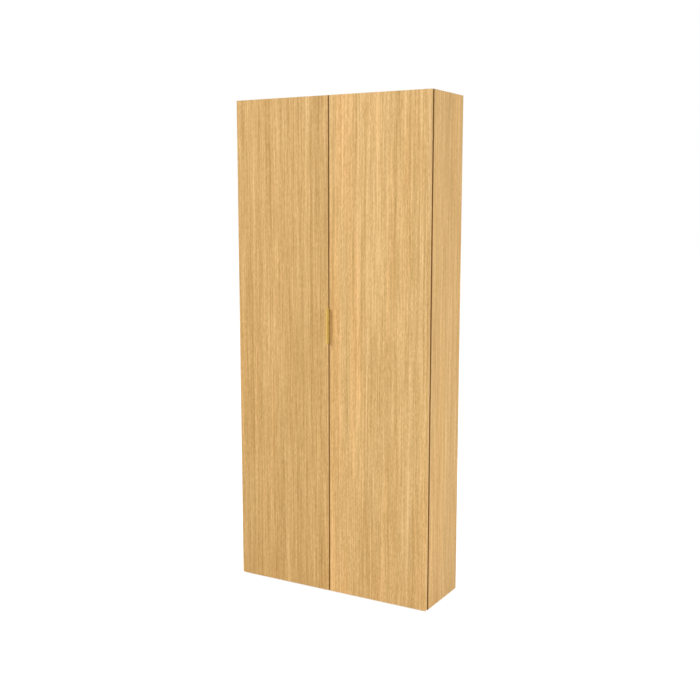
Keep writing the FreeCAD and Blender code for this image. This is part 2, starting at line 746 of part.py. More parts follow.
def make_hinge_plates(side):
    """The mounting plates of one side: a tongue under each arm, with wings for the screws."""
    sign = SIDES[side]
    outward = "+x" if sign > 0 else "-x"
    middle = f"{sign} * ({DOOR_EDGE} - {PLATE_SEAT} - plate_thickness / 2)"
    plates = []
    for number in range(HINGE_COUNT):
        level = hinge_level(number)
        tongue = box("plate_tongue", middle, f"{DOOR_BACK} + arm_start", f"{level} - arm_width / 2",
                     "plate_thickness", "arm_length", "arm_width")
        wings = box("plate_wings", middle, f"{DOOR_BACK} + {PLATE_LINE} - plate_wing / 2",
                    f"{level} - plate_height / 2", "plate_thickness", "plate_wing", "plate_height")
        plates.append(fuse("hinge_plate", [tongue, wings]))
    holes = screw_holes(outward, plate_screw_places(side), "plate_screw_length")
    holes += [
        rod("arm_screw_room", outward, *spot, "arm_screw_radius + fit_clearance",
            "arm_depth + plate_thickness")
        for spot in arm_screw_places(side, range(HINGE_COUNT))
    ]
    piece(cut(f"hinge_plates_{side}", group(f"hinge_plates_{side}_blank", plates), holes))


def make_hinge_cup(side, number):
    """A hinge cup: a thin bowl sunk in the door, with two wings on its back and two ears for the pin."""
    sign = SIDES[side]
    x, z = f"{sign} * ({DOOR_EDGE} - {CUP_CENTRE})", hinge_level(number)
    name = f"hinge_cup_{side}_{number + 1}"
    rim = f"{DOOR_BACK} + flange_thickness"
    bowl = rod("cup_bowl", "-y", x, rim, z, "cup_radius", "cup_depth + flange_thickness")
    wings = box("cup_wings", f"{x} - {sign} * (flange_rear - flange_front) / 2", DOOR_BACK,
                f"{z} - flange_length / 2", "flange_front + flange_rear", "flange_thickness",
                "flange_length")
    hollow = rod("cup_hollow", "-y", x, rim, z, "cup_radius - cup_wall",
                 "cup_depth + flange_thickness - cup_wall")
    open_cup = cut(f"{name}_open", fuse(f"{name}_blank", [bowl, wings]), [hollow])
    ears = [
        box("cup_ear", f"{sign} * ({DOOR_EDGE} - pin_edge)", f"{DOOR_BACK} - cup_depth",
            f"{z} + {way} * ((arm_width + ear_thickness) / 2 + ear_gap) - ear_thickness / 2",
            "2 * ear_radius", "cup_depth - pin_sink + ear_radius", "ear_thickness")
        for way in SIDES.values()
    ]
    holes = screw_holes("-y", cup_screw_places(sign, (number,)), "cup_screw_length")
    holes += pin_rods("pin_hole", side, (number,), "pin_radius + pin_clearance")
    piece(cut(name, fuse(f"{name}_eared", [open_cup] + ears), holes))


def pin_rods(name, side, numbers, radius):
    """The hinge pins of some hinges of one side, or their holes where they are wider."""
    sign = SIDES[side]
    return [
        rod(name, "+z", f"{sign} * ({DOOR_EDGE} - pin_edge)", f"{DOOR_BACK} - pin_sink",
            f"{hinge_level(number)} - {PIN_LENGTH} / 2", radius, PIN_LENGTH)
        for number in numbers
    ]


def make_hinges():
    """The hinges of both doors, with their pins and screws."""
    plate_screws, arm_screws = [], []
    for side, sign in SIDES.items():
        outward = "+x" if sign > 0 else "-x"
        for number in range(HINGE_COUNT):
            make_hinge_cup(side, number)
            make_hinge_arm(side, number)
        make_hinge_plates(side)
        piece(group(f"hinge_pins_{side}", pin_rods("hinge_pin", side, range(HINGE_COUNT), "pin_radius")))
        cup_screws = screws("-y", cup_screw_places(sign, range(HINGE_COUNT)), "cup_screw_length")
        piece(group(f"cup_screws_{side}", cup_screws))
        plate_screws += screws(outward, plate_screw_places(side), "plate_screw_length")
        for x, y, z in arm_screw_places(side, range(HINGE_COUNT)):
            shank = rod("arm_screw_shank", outward, x, y, z, "arm_screw_radius",
                        "arm_depth + plate_thickness - fit_clearance")
            head = rod("arm_screw_head", "-x" if sign > 0 else "+x", x, y, z, "arm_screw_head_radius",
                       "arm_screw_head_height")
            arm_screws.append(fuse("arm_screw", [shank, head]))
    piece(group("plate_screws", plate_screws))
    piece(group("arm_screws", arm_screws))


def catch_screw_places():
    """Where the screws of the catches start, under their housings."""
    return [
        (f"{sign} * catch_centre + {step} * catch_screw_pitch", f"{CATCH_FRONT} + catch_depth / 2",
         f"{CEILING} - catch_height")
        for sign in SIDES.values() for step in PAIR_STEPS
    ]


def make_catches():
    """The magnetic catches under the top panel."""
    magnets = []
    holes = screw_holes("+z", catch_screw_places(), "catch_screw_length")
    for side, sign in SIDES.items():
        x = f"{sign} * catch_centre"
        shell = box("catch_block", x, CATCH_FRONT, f"{CEILING} - catch_height", "catch_length",
                    "catch_depth", "catch_height")
        magnet_bottom = f"{STRIKE_LEVEL} - magnet_height / 2"
        room = box("magnet_room", x, CATCH_FRONT, f"{magnet_bottom} - fit_clearance",
                   "magnet_length + 2 * fit_clearance", "magnet_depth + fit_clearance",
                   "magnet_height + 2 * fit_clearance")
        piece(cut(f"catch_housing_{side}", shell, holes + [room]))
        magnets.append(box("magnet", x, CATCH_FRONT, magnet_bottom, "magnet_length", "magnet_depth",
                           "magnet_height"))
    piece(group("catch_magnets", magnets))
    piece(group("catch_screws", screws("+z", catch_screw_places(), "catch_screw_length")))


def check_pieces():
    """Stops if any object failed, or any piece is empty or not sound."""
    failed = [thing.Label for thing in doc.Objects if {"Invalid", "Error"} & set(thing.State)]
    failed += [thing.Label for thing in pieces if thing.Shape.isNull() or not thing.Shape.isValid()]
    if failed:
        raise ValueError(f"these did not build: {failed}")


def write_pieces():
    """Writes each piece to a file that has its name."""
    os.makedirs("parts", exist_ok=True)
    for thing in pieces:
        thing.Shape.exportStep(f"parts/{thing.Label}.step")
        print(thing.Label, len(thing.Shape.Solids), round(thing.Shape.Volume, 1))


make_sheet()
make_carcass()
make_joinery()
make_shelves()
make_glides()
make_door("left")
make_door("right")
make_edge_pull()
make_hinges()
make_catches()
doc.recompute()
check_pieces()
write_pieces()
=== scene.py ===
"""Broom cupboard: the looks of a tall two-door oak cupboard with a brass edge pull.

Everything is in metres, in the cupboard's own frame: +X to the right, -Y to the front, +Z up.
"""

import json
import logging
import math
from abc import ABC, abstractmethod
from dataclasses import asdict, dataclass
from enum import Enum
from typing import Any, ClassVar, Mapping, Sequence

import bmesh
import bpy
from mathutils import Color, Euler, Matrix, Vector

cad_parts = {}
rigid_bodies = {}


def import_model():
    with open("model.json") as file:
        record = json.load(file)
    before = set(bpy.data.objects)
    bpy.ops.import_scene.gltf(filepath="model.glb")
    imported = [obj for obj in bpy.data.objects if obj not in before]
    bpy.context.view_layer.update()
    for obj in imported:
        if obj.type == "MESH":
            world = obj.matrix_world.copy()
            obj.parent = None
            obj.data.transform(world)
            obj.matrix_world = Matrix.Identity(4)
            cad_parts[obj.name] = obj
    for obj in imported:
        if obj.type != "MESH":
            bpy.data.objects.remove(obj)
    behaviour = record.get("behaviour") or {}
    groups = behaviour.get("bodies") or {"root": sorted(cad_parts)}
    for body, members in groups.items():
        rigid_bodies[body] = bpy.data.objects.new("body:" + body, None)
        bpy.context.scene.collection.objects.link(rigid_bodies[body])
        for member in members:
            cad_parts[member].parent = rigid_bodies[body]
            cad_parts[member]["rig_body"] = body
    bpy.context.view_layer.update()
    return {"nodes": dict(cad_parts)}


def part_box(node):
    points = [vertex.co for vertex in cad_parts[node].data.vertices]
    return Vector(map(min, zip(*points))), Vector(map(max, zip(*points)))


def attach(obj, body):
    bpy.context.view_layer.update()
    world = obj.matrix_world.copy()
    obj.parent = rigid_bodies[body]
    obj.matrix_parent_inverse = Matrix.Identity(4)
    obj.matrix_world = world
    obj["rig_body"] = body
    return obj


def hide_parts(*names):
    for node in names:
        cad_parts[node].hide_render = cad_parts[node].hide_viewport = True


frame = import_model()
log = logging.getLogger("broom_cupboard")

Colour = tuple[float, float, float, float]
Pair = tuple[float, float]
Socket = bpy.types.NodeSocket
Outline = list[tuple[Any, Any]]
Kinds = Mapping[str, str]
FLOAT = "NodeSocketFloat"
WHOLE = "NodeSocketInt"
VECTOR = "NodeSocketVector"
GEOMETRY = "NodeSocketGeometry"
MATERIAL = "NodeSocketMaterial"
SIDES = ("left", "right")
AXES = (0, 1, 2)
WHITE: Colour = (1.0, 1.0, 1.0, 1.0)
FULL_LEVEL = 255
UP = (0.0, 0.0, 1.0)
ORIGIN = (0.0, 0.0, 0.0)
WELD = 1e-6
HALF = 0.5


def display(red: int, green: int, blue: int) -> Colour:
    """The linear colour for one that a screen shows, with levels from 0 to 255."""
    shown_as = Color([level / FULL_LEVEL for level in (red, green, blue)])
    return (*shown_as.from_srgb_to_scene_linear(), 1.0)


class Grain(Enum):
    """The axis along which the grain of a piece of wood runs."""

    SIDEWAYS = 0
    FORWARD = 1
    UPRIGHT = 2


class GapShadeEdge(Enum):
    """The edge of a board that lies in a narrow gap and is darkened there as painted shade for the gap's
    shadow: an axis, which end of it, how thick, how deep.
    """

    LEFT = (0, -1, 0.002, 0.7)
    RIGHT = (0, 1, 0.002, 0.7)
    FRONT = (1, -1, 0.0068, 1.0)


class Cut(Enum):
    """How a veneer was cut from the log: its own values for the figure's inputs."""

    CROWN = {"Band Share": 0.8, "Line Share": 0.74, "Fibre Share": 0.9, "Fibre Run": 0.2}
    QUARTER = {"Band Share": 0.15, "Line Share": 0.6, "Fibre Share": 1.4, "Fibre Run": 0.3}


@dataclass(frozen=True)
class Box:
    """An upright box in the cupboard's frame."""

    low: Vector
    high: Vector

    @classmethod
    def of(cls, node: str) -> "Box":
        """The box of a CAD node."""
        return cls(*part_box(node))

    @classmethod
    def around(cls, points: Sequence[Vector]) -> "Box":
        """The smallest box around some points."""
        columns = list(zip(*points))
        return cls(Vector([min(column) for column in columns]), Vector([max(column) for column in columns]))

    @property
    def size(self) -> Vector:
        """The box's lengths along x, y and z."""
        return self.high - self.low

    @property
    def centre(self) -> Vector:
        """The middle of the box."""
        return (self.low + self.high) / 2

    @property
    def thin_axis(self) -> int:
        """The axis along which the box is thinnest."""
        return min(AXES, key=lambda axis: self.size[axis])


def welded_net(node: str) -> bmesh.types.BMesh:
    """Copies a CAD node's mesh, with its loose triangles welded.

    Args:
        node: the node's name.

    Returns:
        The copy, which whoever asked for it frees.
    """
    net = bmesh.new()
    net.from_mesh(frame["nodes"][node].data)
    bmesh.ops.remove_doubles(net, verts=net.verts, dist=WELD)
    return net


def solids(node: str) -> list[Box]:
    """Finds the boxes of a CAD node's separate solids.

    Args:
        node: the node's name.

    Returns:
        A box for each solid.
    """
    net = welded_net(node)
    boxes: list[Box] = []
    seen = set()
    for first in net.verts:
        if first in seen:
            continue
        seen.add(first)
        reach, points = [first], []
        while reach:
            here = reach.pop()
            points.append(here.co.copy())
            joined = [edge.other_vert(here) for edge in here.link_edges]
            fresh = [vert for vert in joined if vert not in seen]
            seen.update(fresh)
            reach += fresh
        boxes.append(Box.around(points))
    net.free()
    return boxes


BAY_MIDDLE = Box.of("shelf_right_1").centre.x


class Way(Enum):
    """The way that the seen face of a repeated piece looks."""

    FRONT = (0.0, -1.0, 0.0)
    BACK = (0.0, 1.0, 0.0)
    DOWN = (0.0, 0.0, -1.0)
    INTO_BAY = (1.0, 0.0, 0.0)

    def at(self, place: Vector) -> Vector:
        """Finds the direction at a place, which for INTO_BAY is towards the middle of the nearer bay.

        Args:
            place: the middle of the repeated piece.

        Returns:
            A direction of length 1.
        """
        way = Vector(self.value)
        if self is Way.INTO_BAY and place.x > math.copysign(BAY_MIDDLE, place.x):
            return -way
        return way


@dataclass(frozen=True)
class Seat:
    """Where a repeated piece goes: the middle of its seen face, and the way that this face looks."""

    place: Vector
    outward: Vector

    @classmethod
    def on(cls, box: Box, way: Way) -> "Seat":
        """The seat on one face of a solid's box."""
        outward = way.at(box.centre)
        return cls(box.centre + outward * abs(outward.dot(box.size)) / 2, outward)


class Graph:
    """A node tree that is being drawn, with short ways to add and join its nodes."""

    def __init__(self, tree: bpy.types.NodeTree) -> None:
        """Starts on an empty tree."""
        self.tree = tree
        self.tree.nodes.clear()

    def put(self, socket: Socket, value: Any) -> None:
        """Feeds a socket.

        Args:
            socket: an input of a node.
            value: the output that feeds it, or a value of its own.
        """
        if isinstance(value, bpy.types.NodeSocket):
            self.tree.links.new(value, socket)
        else:
            socket.default_value = value

    def add(self, kind: str, given: Mapping[Any, Any] | None = None, **settings: Any) -> bpy.types.Node:
        """Adds a node.

        Args:
            kind: the node's type.
            given: sockets or values for its inputs, by name or number.
            settings: values for its own properties.

        Returns:
            The new node.
        """
        node = self.tree.nodes.new(kind)
        for name, value in settings.items():
            setattr(node, name, value)
        for key, value in (given or {}).items():
            self.put(node.inputs[key], value)
        return node

    def math(self, operation: str, *values: Any, clamp: bool = False) -> Socket:
        """One step of arithmetic on numbers."""
        node = self.add("ShaderNodeMath", dict(enumerate(values)), operation=operation, use_clamp=clamp)
        return node.outputs[0]

    def times(self, value: Any, factor: Any) -> Socket:
        """A number times another."""
        return self.math("MULTIPLY", value, factor)

    def below(self, depth: Any) -> Socket:
        """The level that lies a depth below the seen face of a shape."""
        return self.math("MULTIPLY", depth, -1.0)

    def less(self, value: Any, other: Any) -> Socket:
        """A number less another."""
        return self.math("SUBTRACT", value, other)

    def swung(self, mask: Socket, swing: float, middle: float) -> Socket:
        """A number that swings about its middle value as a mask goes from 0 to 1."""
        return self.math("MULTIPLY_ADD", mask, swing, middle - swing / 2)

    def vector(self, operation: str, *values: Any) -> Socket:
        """One step of arithmetic on vectors."""
        return self.add("ShaderNodeVectorMath", dict(enumerate(values)), operation=operation).outputs[0]

    def scaled(self, vector: Any, factor: Any) -> Socket:
        """A vector times a number."""
        return self.add("ShaderNodeVectorMath", {0: vector, "Scale": factor}, operation="SCALE").outputs[0]

    def split(self, vector: Socket) -> list[Socket]:
        """The three numbers of a vector."""
        return list(self.add("ShaderNodeSeparateXYZ", {0: vector}).outputs)

    def join(self, x: Any, y: Any, z: Any) -> Socket:
        """A vector of three numbers."""
        return self.add("ShaderNodeCombineXYZ", {0: x, 1: y, 2: z}).outputs[0]

    def noise(self, vector: Socket, detail: float, roughness: float = HALF) -> Socket:
        """Cloudy noise from 0 to 1, about one unit across."""
        given = {"Vector": vector, "Scale": 1.0, "Detail": detail, "Roughness": roughness}
        return self.add("ShaderNodeTexNoise", given).outputs[0]

    def ease(self, value: Socket, low: Any, high: Any, to_low: float = 0.0, to_high: float = 1.0) -> Socket:
        """A range of a value as a smooth step between two others."""
        given = dict(enumerate((value, low, high, to_low, to_high)))
        return self.add("ShaderNodeMapRange", given, interpolation_type="SMOOTHSTEP").outputs[0]

    def mixed(self, kind: str, share: Any, first: Any, second: Any, way: str = "MIX") -> Socket:
        """Mixes two colours or two vectors.

        Args:
            kind: RGBA or VECTOR.
            share: how much of the second one there is.
            first, second: what is mixed.
            way: how colours are mixed.

        Returns:
            The mixture.
        """
        node = self.add("ShaderNodeMix", {0: share}, data_type=kind, blend_type=way)
        fitting = [socket for socket in node.inputs if socket.enabled and socket.name in ("A", "B")]
        for socket, value in zip(fitting, (first, second)):
            self.put(socket, value)
        return next(socket for socket in node.outputs if socket.enabled)

    def blend(self, share: Any, first: Any, second: Any, way: str = "MIX") -> Socket:
        """A colour between two others, or the first one changed by the second."""
        return self.mixed("RGBA", share, first, second, way)

    def between(self, share: Any, first: Any, second: Any) -> Socket:
        """A vector between two others."""
        return self.mixed("VECTOR", share, first, second)

    def ramp(self, share: Socket, stops: Sequence[tuple[float, Colour]]) -> Socket:
        """Picks a colour from a row of colour stops.

        Args:
            share: how far along the row the colour is.
            stops: the place and the colour of each stop.

        Returns:
            The colour.
        """
        node = self.add("ShaderNodeValToRGB", {0: share})
        while len(node.color_ramp.elements) < len(stops):
            node.color_ramp.elements.new(1.0)
        for element, (position, colour) in zip(node.color_ramp.elements, stops):
            element.position = position
            element.color = colour
        return node.outputs[0]

    def together(self, parts: Sequence[Socket]) -> Socket:
        """Joins pieces of geometry.

        Args:
            parts: the pieces.

        Returns:
            One geometry that holds them all.
        """
        joined = self.add("GeometryNodeJoinGeometry")
        for part in parts:
            self.tree.links.new(part, joined.inputs[0])
        return joined.outputs[0]

    def welded(self, parts: Sequence[Socket]) -> Socket:
        """Several pieces of geometry as one, with their shared points welded."""
        given = {"Geometry": self.together(parts), "Distance": WELD}
        return self.add("GeometryNodeMergeByDistance", given).outputs[0]

    def lathe(self, outline: Outline, sides: int) -> Socket:
        """Turns an outline about the upright axis.

        Args:
            outline: a radius and a level for each point, from the top down.
            sides: how many sides the turned shape has.

        Returns:
            The turned mesh, open where the outline doesn't reach the axis.
        """
        rings = []
        for (upper, top), (lower, bottom) in zip(outline, outline[1:]):
            given = {"Vertices": sides, "Side Segments": 1, "Radius Top": upper, "Radius Bottom": lower,
                     "Depth": self.less(top, bottom)}
            cone = self.add("GeometryNodeMeshCone", given, fill_type="NONE").outputs["Mesh"]
            lift = {"Geometry": cone, "Translation": self.join(0.0, 0.0, bottom)}
            rings.append(self.add("GeometryNodeTransform", lift).outputs[0])
        return self.welded(rings)

    def softened(self, mesh: Socket, sharp_angle: float) -> Socket:
        """Shades a mesh smoothly, but for its sharp edges.

        Args:
            mesh: the mesh.
            sharp_angle: the least angle of an edge that stays sharp.

        Returns:
            The shaded mesh.
        """
        smooth = self.add("GeometryNodeSetShadeSmooth", {"Geometry": mesh, "Shade Smooth": True})
        angle = self.add("GeometryNodeInputMeshEdgeAngle").outputs["Unsigned Angle"]
        given = {"Geometry": smooth.outputs[0], "Selection": self.math("GREATER_THAN", angle, sharp_angle),
                 "Shade Smooth": False}
        return self.add("GeometryNodeSetShadeSmooth", given, domain="EDGE").outputs[0]


class GroupGraph(Graph):
    """The graph of a new node group.

    Attributes:
        given: the sockets of the group's inputs, by name.
        result: the sockets of its outputs, by name.
    """

    def __init__(self, label: str, tree_kind: str, inputs: Kinds, outputs: Kinds) -> None:
        """Makes the group with its sockets.

        Args:
            label: the group's name.
            tree_kind: the type of its tree.
            inputs, outputs: the type of each socket, by name.
        """
        super().__init__(bpy.data.node_groups.new(label, tree_kind))
        for side, sockets in (("INPUT", inputs), ("OUTPUT", outputs)):
            for name, kind in sockets.items():
                self.tree.interface.new_socket(name, in_out=side, socket_type=kind)
        self.given = self.add("NodeGroupInput").outputs
        self.result = self.add("NodeGroupOutput").inputs


class MaterialGraph(Graph):
    """The graph of a new material.

    Attributes:
        material: the material.
        shader: its one shader.
        place: the object's own coordinates.
    """

    def __init__(self, name: str) -> None:
        """Makes the material with a plain shader.

        Args:
            name: the material's name.
        """
        self.material = bpy.data.materials.new(name)
        self.material.use_nodes = True
        super().__init__(self.material.node_tree)
        self.shader = self.add("ShaderNodeBsdfPrincipled")
        self.add("ShaderNodeOutputMaterial", {"Surface": self.shader.outputs[0]})
        self.place = self.add("ShaderNodeTexCoord").outputs["Object"]

    def feed(self, name: str, value: Any) -> None:
        """Feeds an input of the shader."""
        self.put(self.shader.inputs[name], value)

    def bump(self, height: Socket, strength: float, distance: float) -> None:
        """Roughens the surface by a height."""
        given = {"Strength": strength, "Distance": distance, "Height": height}
        self.feed("Normal", self.add("ShaderNodeBump", given).outputs[0])


class Effect(ABC):
    """A shader node group that several finishes share. It is drawn at its first use."""

    label: ClassVar[str]
    inputs: ClassVar[dict[str, Any]]
    outputs: ClassVar[tuple[str, ...]]

    @classmethod
    def group(cls) -> bpy.types.NodeTree:
        """Finds the effect's node group, or makes it.

        Returns:
            The node group.
        """
        if cls.label not in bpy.data.node_groups:
            usual = cls.inputs
            kinds = {name: VECTOR if isinstance(usual[name], tuple) else FLOAT for name in usual}
            graph = GroupGraph(cls.label, "ShaderNodeTree", kinds, dict.fromkeys(cls.outputs, FLOAT))
            for name in usual:
                graph.tree.interface.items_tree[name].default_value = usual[name]
            cls.draw(graph)
        return bpy.data.node_groups[cls.label]

    @classmethod
    @abstractmethod
    def draw(cls, graph: GroupGraph) -> None:
        """Draws the group between its inputs and its outputs."""

    @classmethod
    def place(cls, graph: MaterialGraph, given: Mapping[str, Any]) -> Any:
        """Puts the group into a material with values of its own, and gives the group's outputs."""
        return graph.add("ShaderNodeGroup", given, node_tree=cls.group()).outputs


class OakFigure(Effect):
    """The figure of oak: bands, lines, fibres, flecks, strands, pores and warm streaks in swaying grain."""

    label = "oak_figure"
    inputs = {
        "Along": ORIGIN, "Seed": 0.0, "Shade": 0.0, "Contrast": 1.0, "Sway": 0.007, **Cut.CROWN.value,
        "Band Pitch": 0.034, "Band Run": 1.5, "Line Pitch": 0.0075, "Line Run": 1.0, "Fibre Pitch": 0.0046,
        "Fleck Pitch": 0.0026, "Fleck Run": 0.017, "Fleck Share": 0.95,
        "Strand Pitch": 0.0009, "Strand Run": 0.05, "Strand Share": 0.8,
        "Pore Pitch": 0.0007, "Pore Run": 0.014,
        "Warm Pitch": 0.08, "Warm Run": 1.1, "Warm Share": 0.5,
    }
    outputs = ("Tone", "Pores", "Height", "Warmth")
    LAYERS: ClassVar[dict[str, Pair]] = {
        "Band": (2.0, 0.55), "Line": (2.0, 0.6), "Fibre": (1.0, 0.5), "Fleck": (1.0, 0.5),
        "Strand": (1.0, 0.5),
    }
    SWAY_PITCH: ClassVar[float] = 0.14
    SWAY_RUN: ClassVar[float] = 0.45
    SWAY_DETAIL: ClassVar[float] = 1.0
    SEED_STEP: ClassVar[tuple[float, float, float]] = (13.7, 5.3, 1.0)
    PORE_DETAIL: ClassVar[float] = 1.0
    PORE_EDGE: ClassVar[Pair] = (0.54, 0.66)
    EARLY_WOOD: ClassVar[Pair] = (0.40, 0.60)
    LATE_PORES: ClassVar[float] = 0.25
    WARM_NOISE: ClassVar[Pair] = (2.0, 0.55)
    WARM_EDGE: ClassVar[Pair] = (0.42, 0.68)

    @classmethod
    def stretched(cls, graph: Graph, vector: Socket, pitch: Any, run: Any, seed: Any) -> Socket:
        """Scales a grain vector for one layer of the figure, at a place of its own.

        Args:
            graph: the group's graph.
            vector: the place, with the grain along z.
            pitch: how wide the layer's marks are across the grain.
            run: how long they are along the grain.
            seed: which stretch of the tree the wood was cut from.

        Returns:
            The vector for the layer's noise.
        """
        fine, slow = graph.math("DIVIDE", 1.0, pitch), graph.math("DIVIDE", 1.0, run)
        scaled = graph.vector("MULTIPLY", vector, graph.join(fine, fine, slow))
        return graph.vector("ADD", scaled, graph.scaled(cls.SEED_STEP, seed))

    @classmethod
    def draw(cls, graph: GroupGraph) -> None:
        """Draws the layers of the figure, from the broadest to the finest.

        Args:
            graph: the group's graph.
        """
        given, result = graph.given, graph.result
        seed, along = given["Seed"], given["Along"]
        sway = graph.noise(cls.stretched(graph, along, cls.SWAY_PITCH, cls.SWAY_RUN, seed), cls.SWAY_DETAIL)
        push = graph.times(graph.less(sway, HALF), given["Sway"])
        bent = graph.vector("ADD", along, graph.join(push, push, 0.0))
        places = {}
        for name in (*cls.LAYERS, "Pore", "Warm"):
            places[name] = cls.stretched(graph, bent, given[f"{name} Pitch"], given[f"{name} Run"], seed)
        tone: Any = 0.0
        drawn = {}
        for name, (detail, roughness) in cls.LAYERS.items():
            drawn[name] = graph.noise(places[name], detail, roughness)
            tone = graph.math("MULTIPLY_ADD", graph.less(drawn[name], HALF), given[f"{name} Share"], tone)
        pores = graph.ease(graph.noise(places["Pore"], cls.PORE_DETAIL), *cls.PORE_EDGE)
        pores = graph.times(pores, graph.ease(drawn["Line"], *cls.EARLY_WOOD, 1.0, cls.LATE_PORES))
        warmth = graph.ease(graph.noise(places["Warm"], *cls.WARM_NOISE), *cls.WARM_EDGE)
        middle = graph.math("ADD", HALF, given["Shade"])
        graph.put(result["Tone"], graph.math("MULTIPLY_ADD", tone, given["Contrast"], middle, clamp=True))
        graph.put(result["Pores"], pores)
        graph.put(result["Height"], graph.less(drawn["Fibre"], pores))
        graph.put(result["Warmth"], graph.times(warmth, given["Warm Share"]))


class BoardSkin(Effect):
    """Where a board shows its rubbed arrises, lightened partly as wear and partly as a painted highlight, the
    ends of its grain and the core inside its skin.
    """

    label = "board_skin"
    inputs = {
        "Position": ORIGIN, "Low": ORIGIN, "High": (1.0, 1.0, 1.0), "Run": UP,
        "Skin": 0.0006, "Arris": 0.0016,
    }
    outputs = ("Worn", "Core", "End")
    RUBS_A_METRE: ClassVar[float] = 60.0
    RUB_NOISE: ClassVar[Pair] = (3.0, 0.6)
    RUB_EDGE: ClassVar[Pair] = (0.35, 0.65)
    LEAST_RUB: ClassVar[float] = 0.2

    @classmethod
    def draw(cls, graph: GroupGraph) -> None:
        """Measures how far a point lies inside the board's faces, nearest face first.

        Args:
            graph: the group's graph.
        """
        given, result = graph.given, graph.result
        place = given["Position"]
        inset = graph.vector("MINIMUM", graph.vector("SUBTRACT", place, given["Low"]),
                             graph.vector("SUBTRACT", given["High"], place))
        x, y, z = graph.split(inset)
        nearer, farther = graph.math("MINIMUM", x, y), graph.math("MAXIMUM", x, y)
        nearest = graph.math("MINIMUM", nearer, z)
        second = graph.math("MAXIMUM", nearer, graph.math("MINIMUM", farther, z))
        # The arris mask lightens the edges: partly rubbed wear, partly a painted highlight.
        worn = graph.ease(second, 0.0, given["Arris"], 1.0, 0.0)
        rub = graph.noise(graph.scaled(place, cls.RUBS_A_METRE), *cls.RUB_NOISE)
        along = graph.split(graph.vector("MULTIPLY", inset, given["Run"]))
        depth = graph.math("ADD", graph.math("ADD", along[0], along[1]), along[2])
        graph.put(result["Worn"], graph.times(worn, graph.ease(rub, *cls.RUB_EDGE, cls.LEAST_RUB)))
        graph.put(result["Core"], graph.math("GREATER_THAN", nearest, given["Skin"]))
        graph.put(result["End"], graph.math("LESS_THAN", depth, given["Skin"]))


class MetalSkin(Effect):
    """The lines of a brush, the smudges of hands and the rubbed arrises of metal."""

    label = "metal_skin"
    inputs = {"Position": ORIGIN, "Stroke": (1.0, 1.0, 1.0), "Arris": 0.0}
    outputs = ("Lines", "Smudge", "Rub")
    FINE_NOISE: ClassVar[Pair] = (2.0, 0.6)
    SMUDGES_A_METRE: ClassVar[float] = 70.0
    SMUDGE_NOISE: ClassVar[Pair] = (3.0, 0.6)
    SMUDGE_EDGE: ClassVar[Pair] = (0.40, 0.72)
    RUBS_A_METRE: ClassVar[float] = 240.0
    RUB_EDGE: ClassVar[Pair] = (0.30, 0.60)
    LEAST_RUB: ClassVar[float] = 0.35

    @classmethod
    def draw(cls, graph: GroupGraph) -> None:
        """Draws the three masks, each with a grain of its own.

        Args:
            graph: the group's graph.
        """
        given, result = graph.given, graph.result
        place = given["Position"]
        lines = graph.noise(graph.vector("MULTIPLY", place, given["Stroke"]), *cls.FINE_NOISE)
        smudge = graph.noise(graph.scaled(place, cls.SMUDGES_A_METRE), *cls.SMUDGE_NOISE)
        rub = graph.noise(graph.scaled(place, cls.RUBS_A_METRE), *cls.FINE_NOISE)
        rubbed = graph.ease(rub, *cls.RUB_EDGE, cls.LEAST_RUB)
        graph.put(result["Lines"], lines)
        graph.put(result["Smudge"], graph.ease(smudge, *cls.SMUDGE_EDGE))
        graph.put(result["Rub"], graph.times(rubbed, given["Arris"]))


class MouldGrain(Effect):
    """The fine grain and the faint clouds of a moulded surface."""

    label = "mould_grain"
    inputs = {"Position": ORIGIN, "Grain Pitch": 0.0005, "Clouds Pitch": 0.012}
    outputs = ("Grain", "Clouds")
    DETAILS: ClassVar[dict[str, float]] = {"Grain": 1.0, "Clouds": 3.0}

    @classmethod
    def draw(cls, graph: GroupGraph) -> None:
        """Draws the grain and the clouds from the same place.

        Args:
            graph: the group's graph.
        """
        for name, detail in cls.DETAILS.items():
            fine = graph.math("DIVIDE", 1.0, graph.given[f"{name} Pitch"])
            graph.put(graph.result[name], graph.noise(graph.scaled(graph.given["Position"], fine), detail))


@dataclass(frozen=True)
class Finish:
    """What a surface is made of.

    Attributes:
        slot: the record's material slot that the finish belongs to.
    """

    slot: str


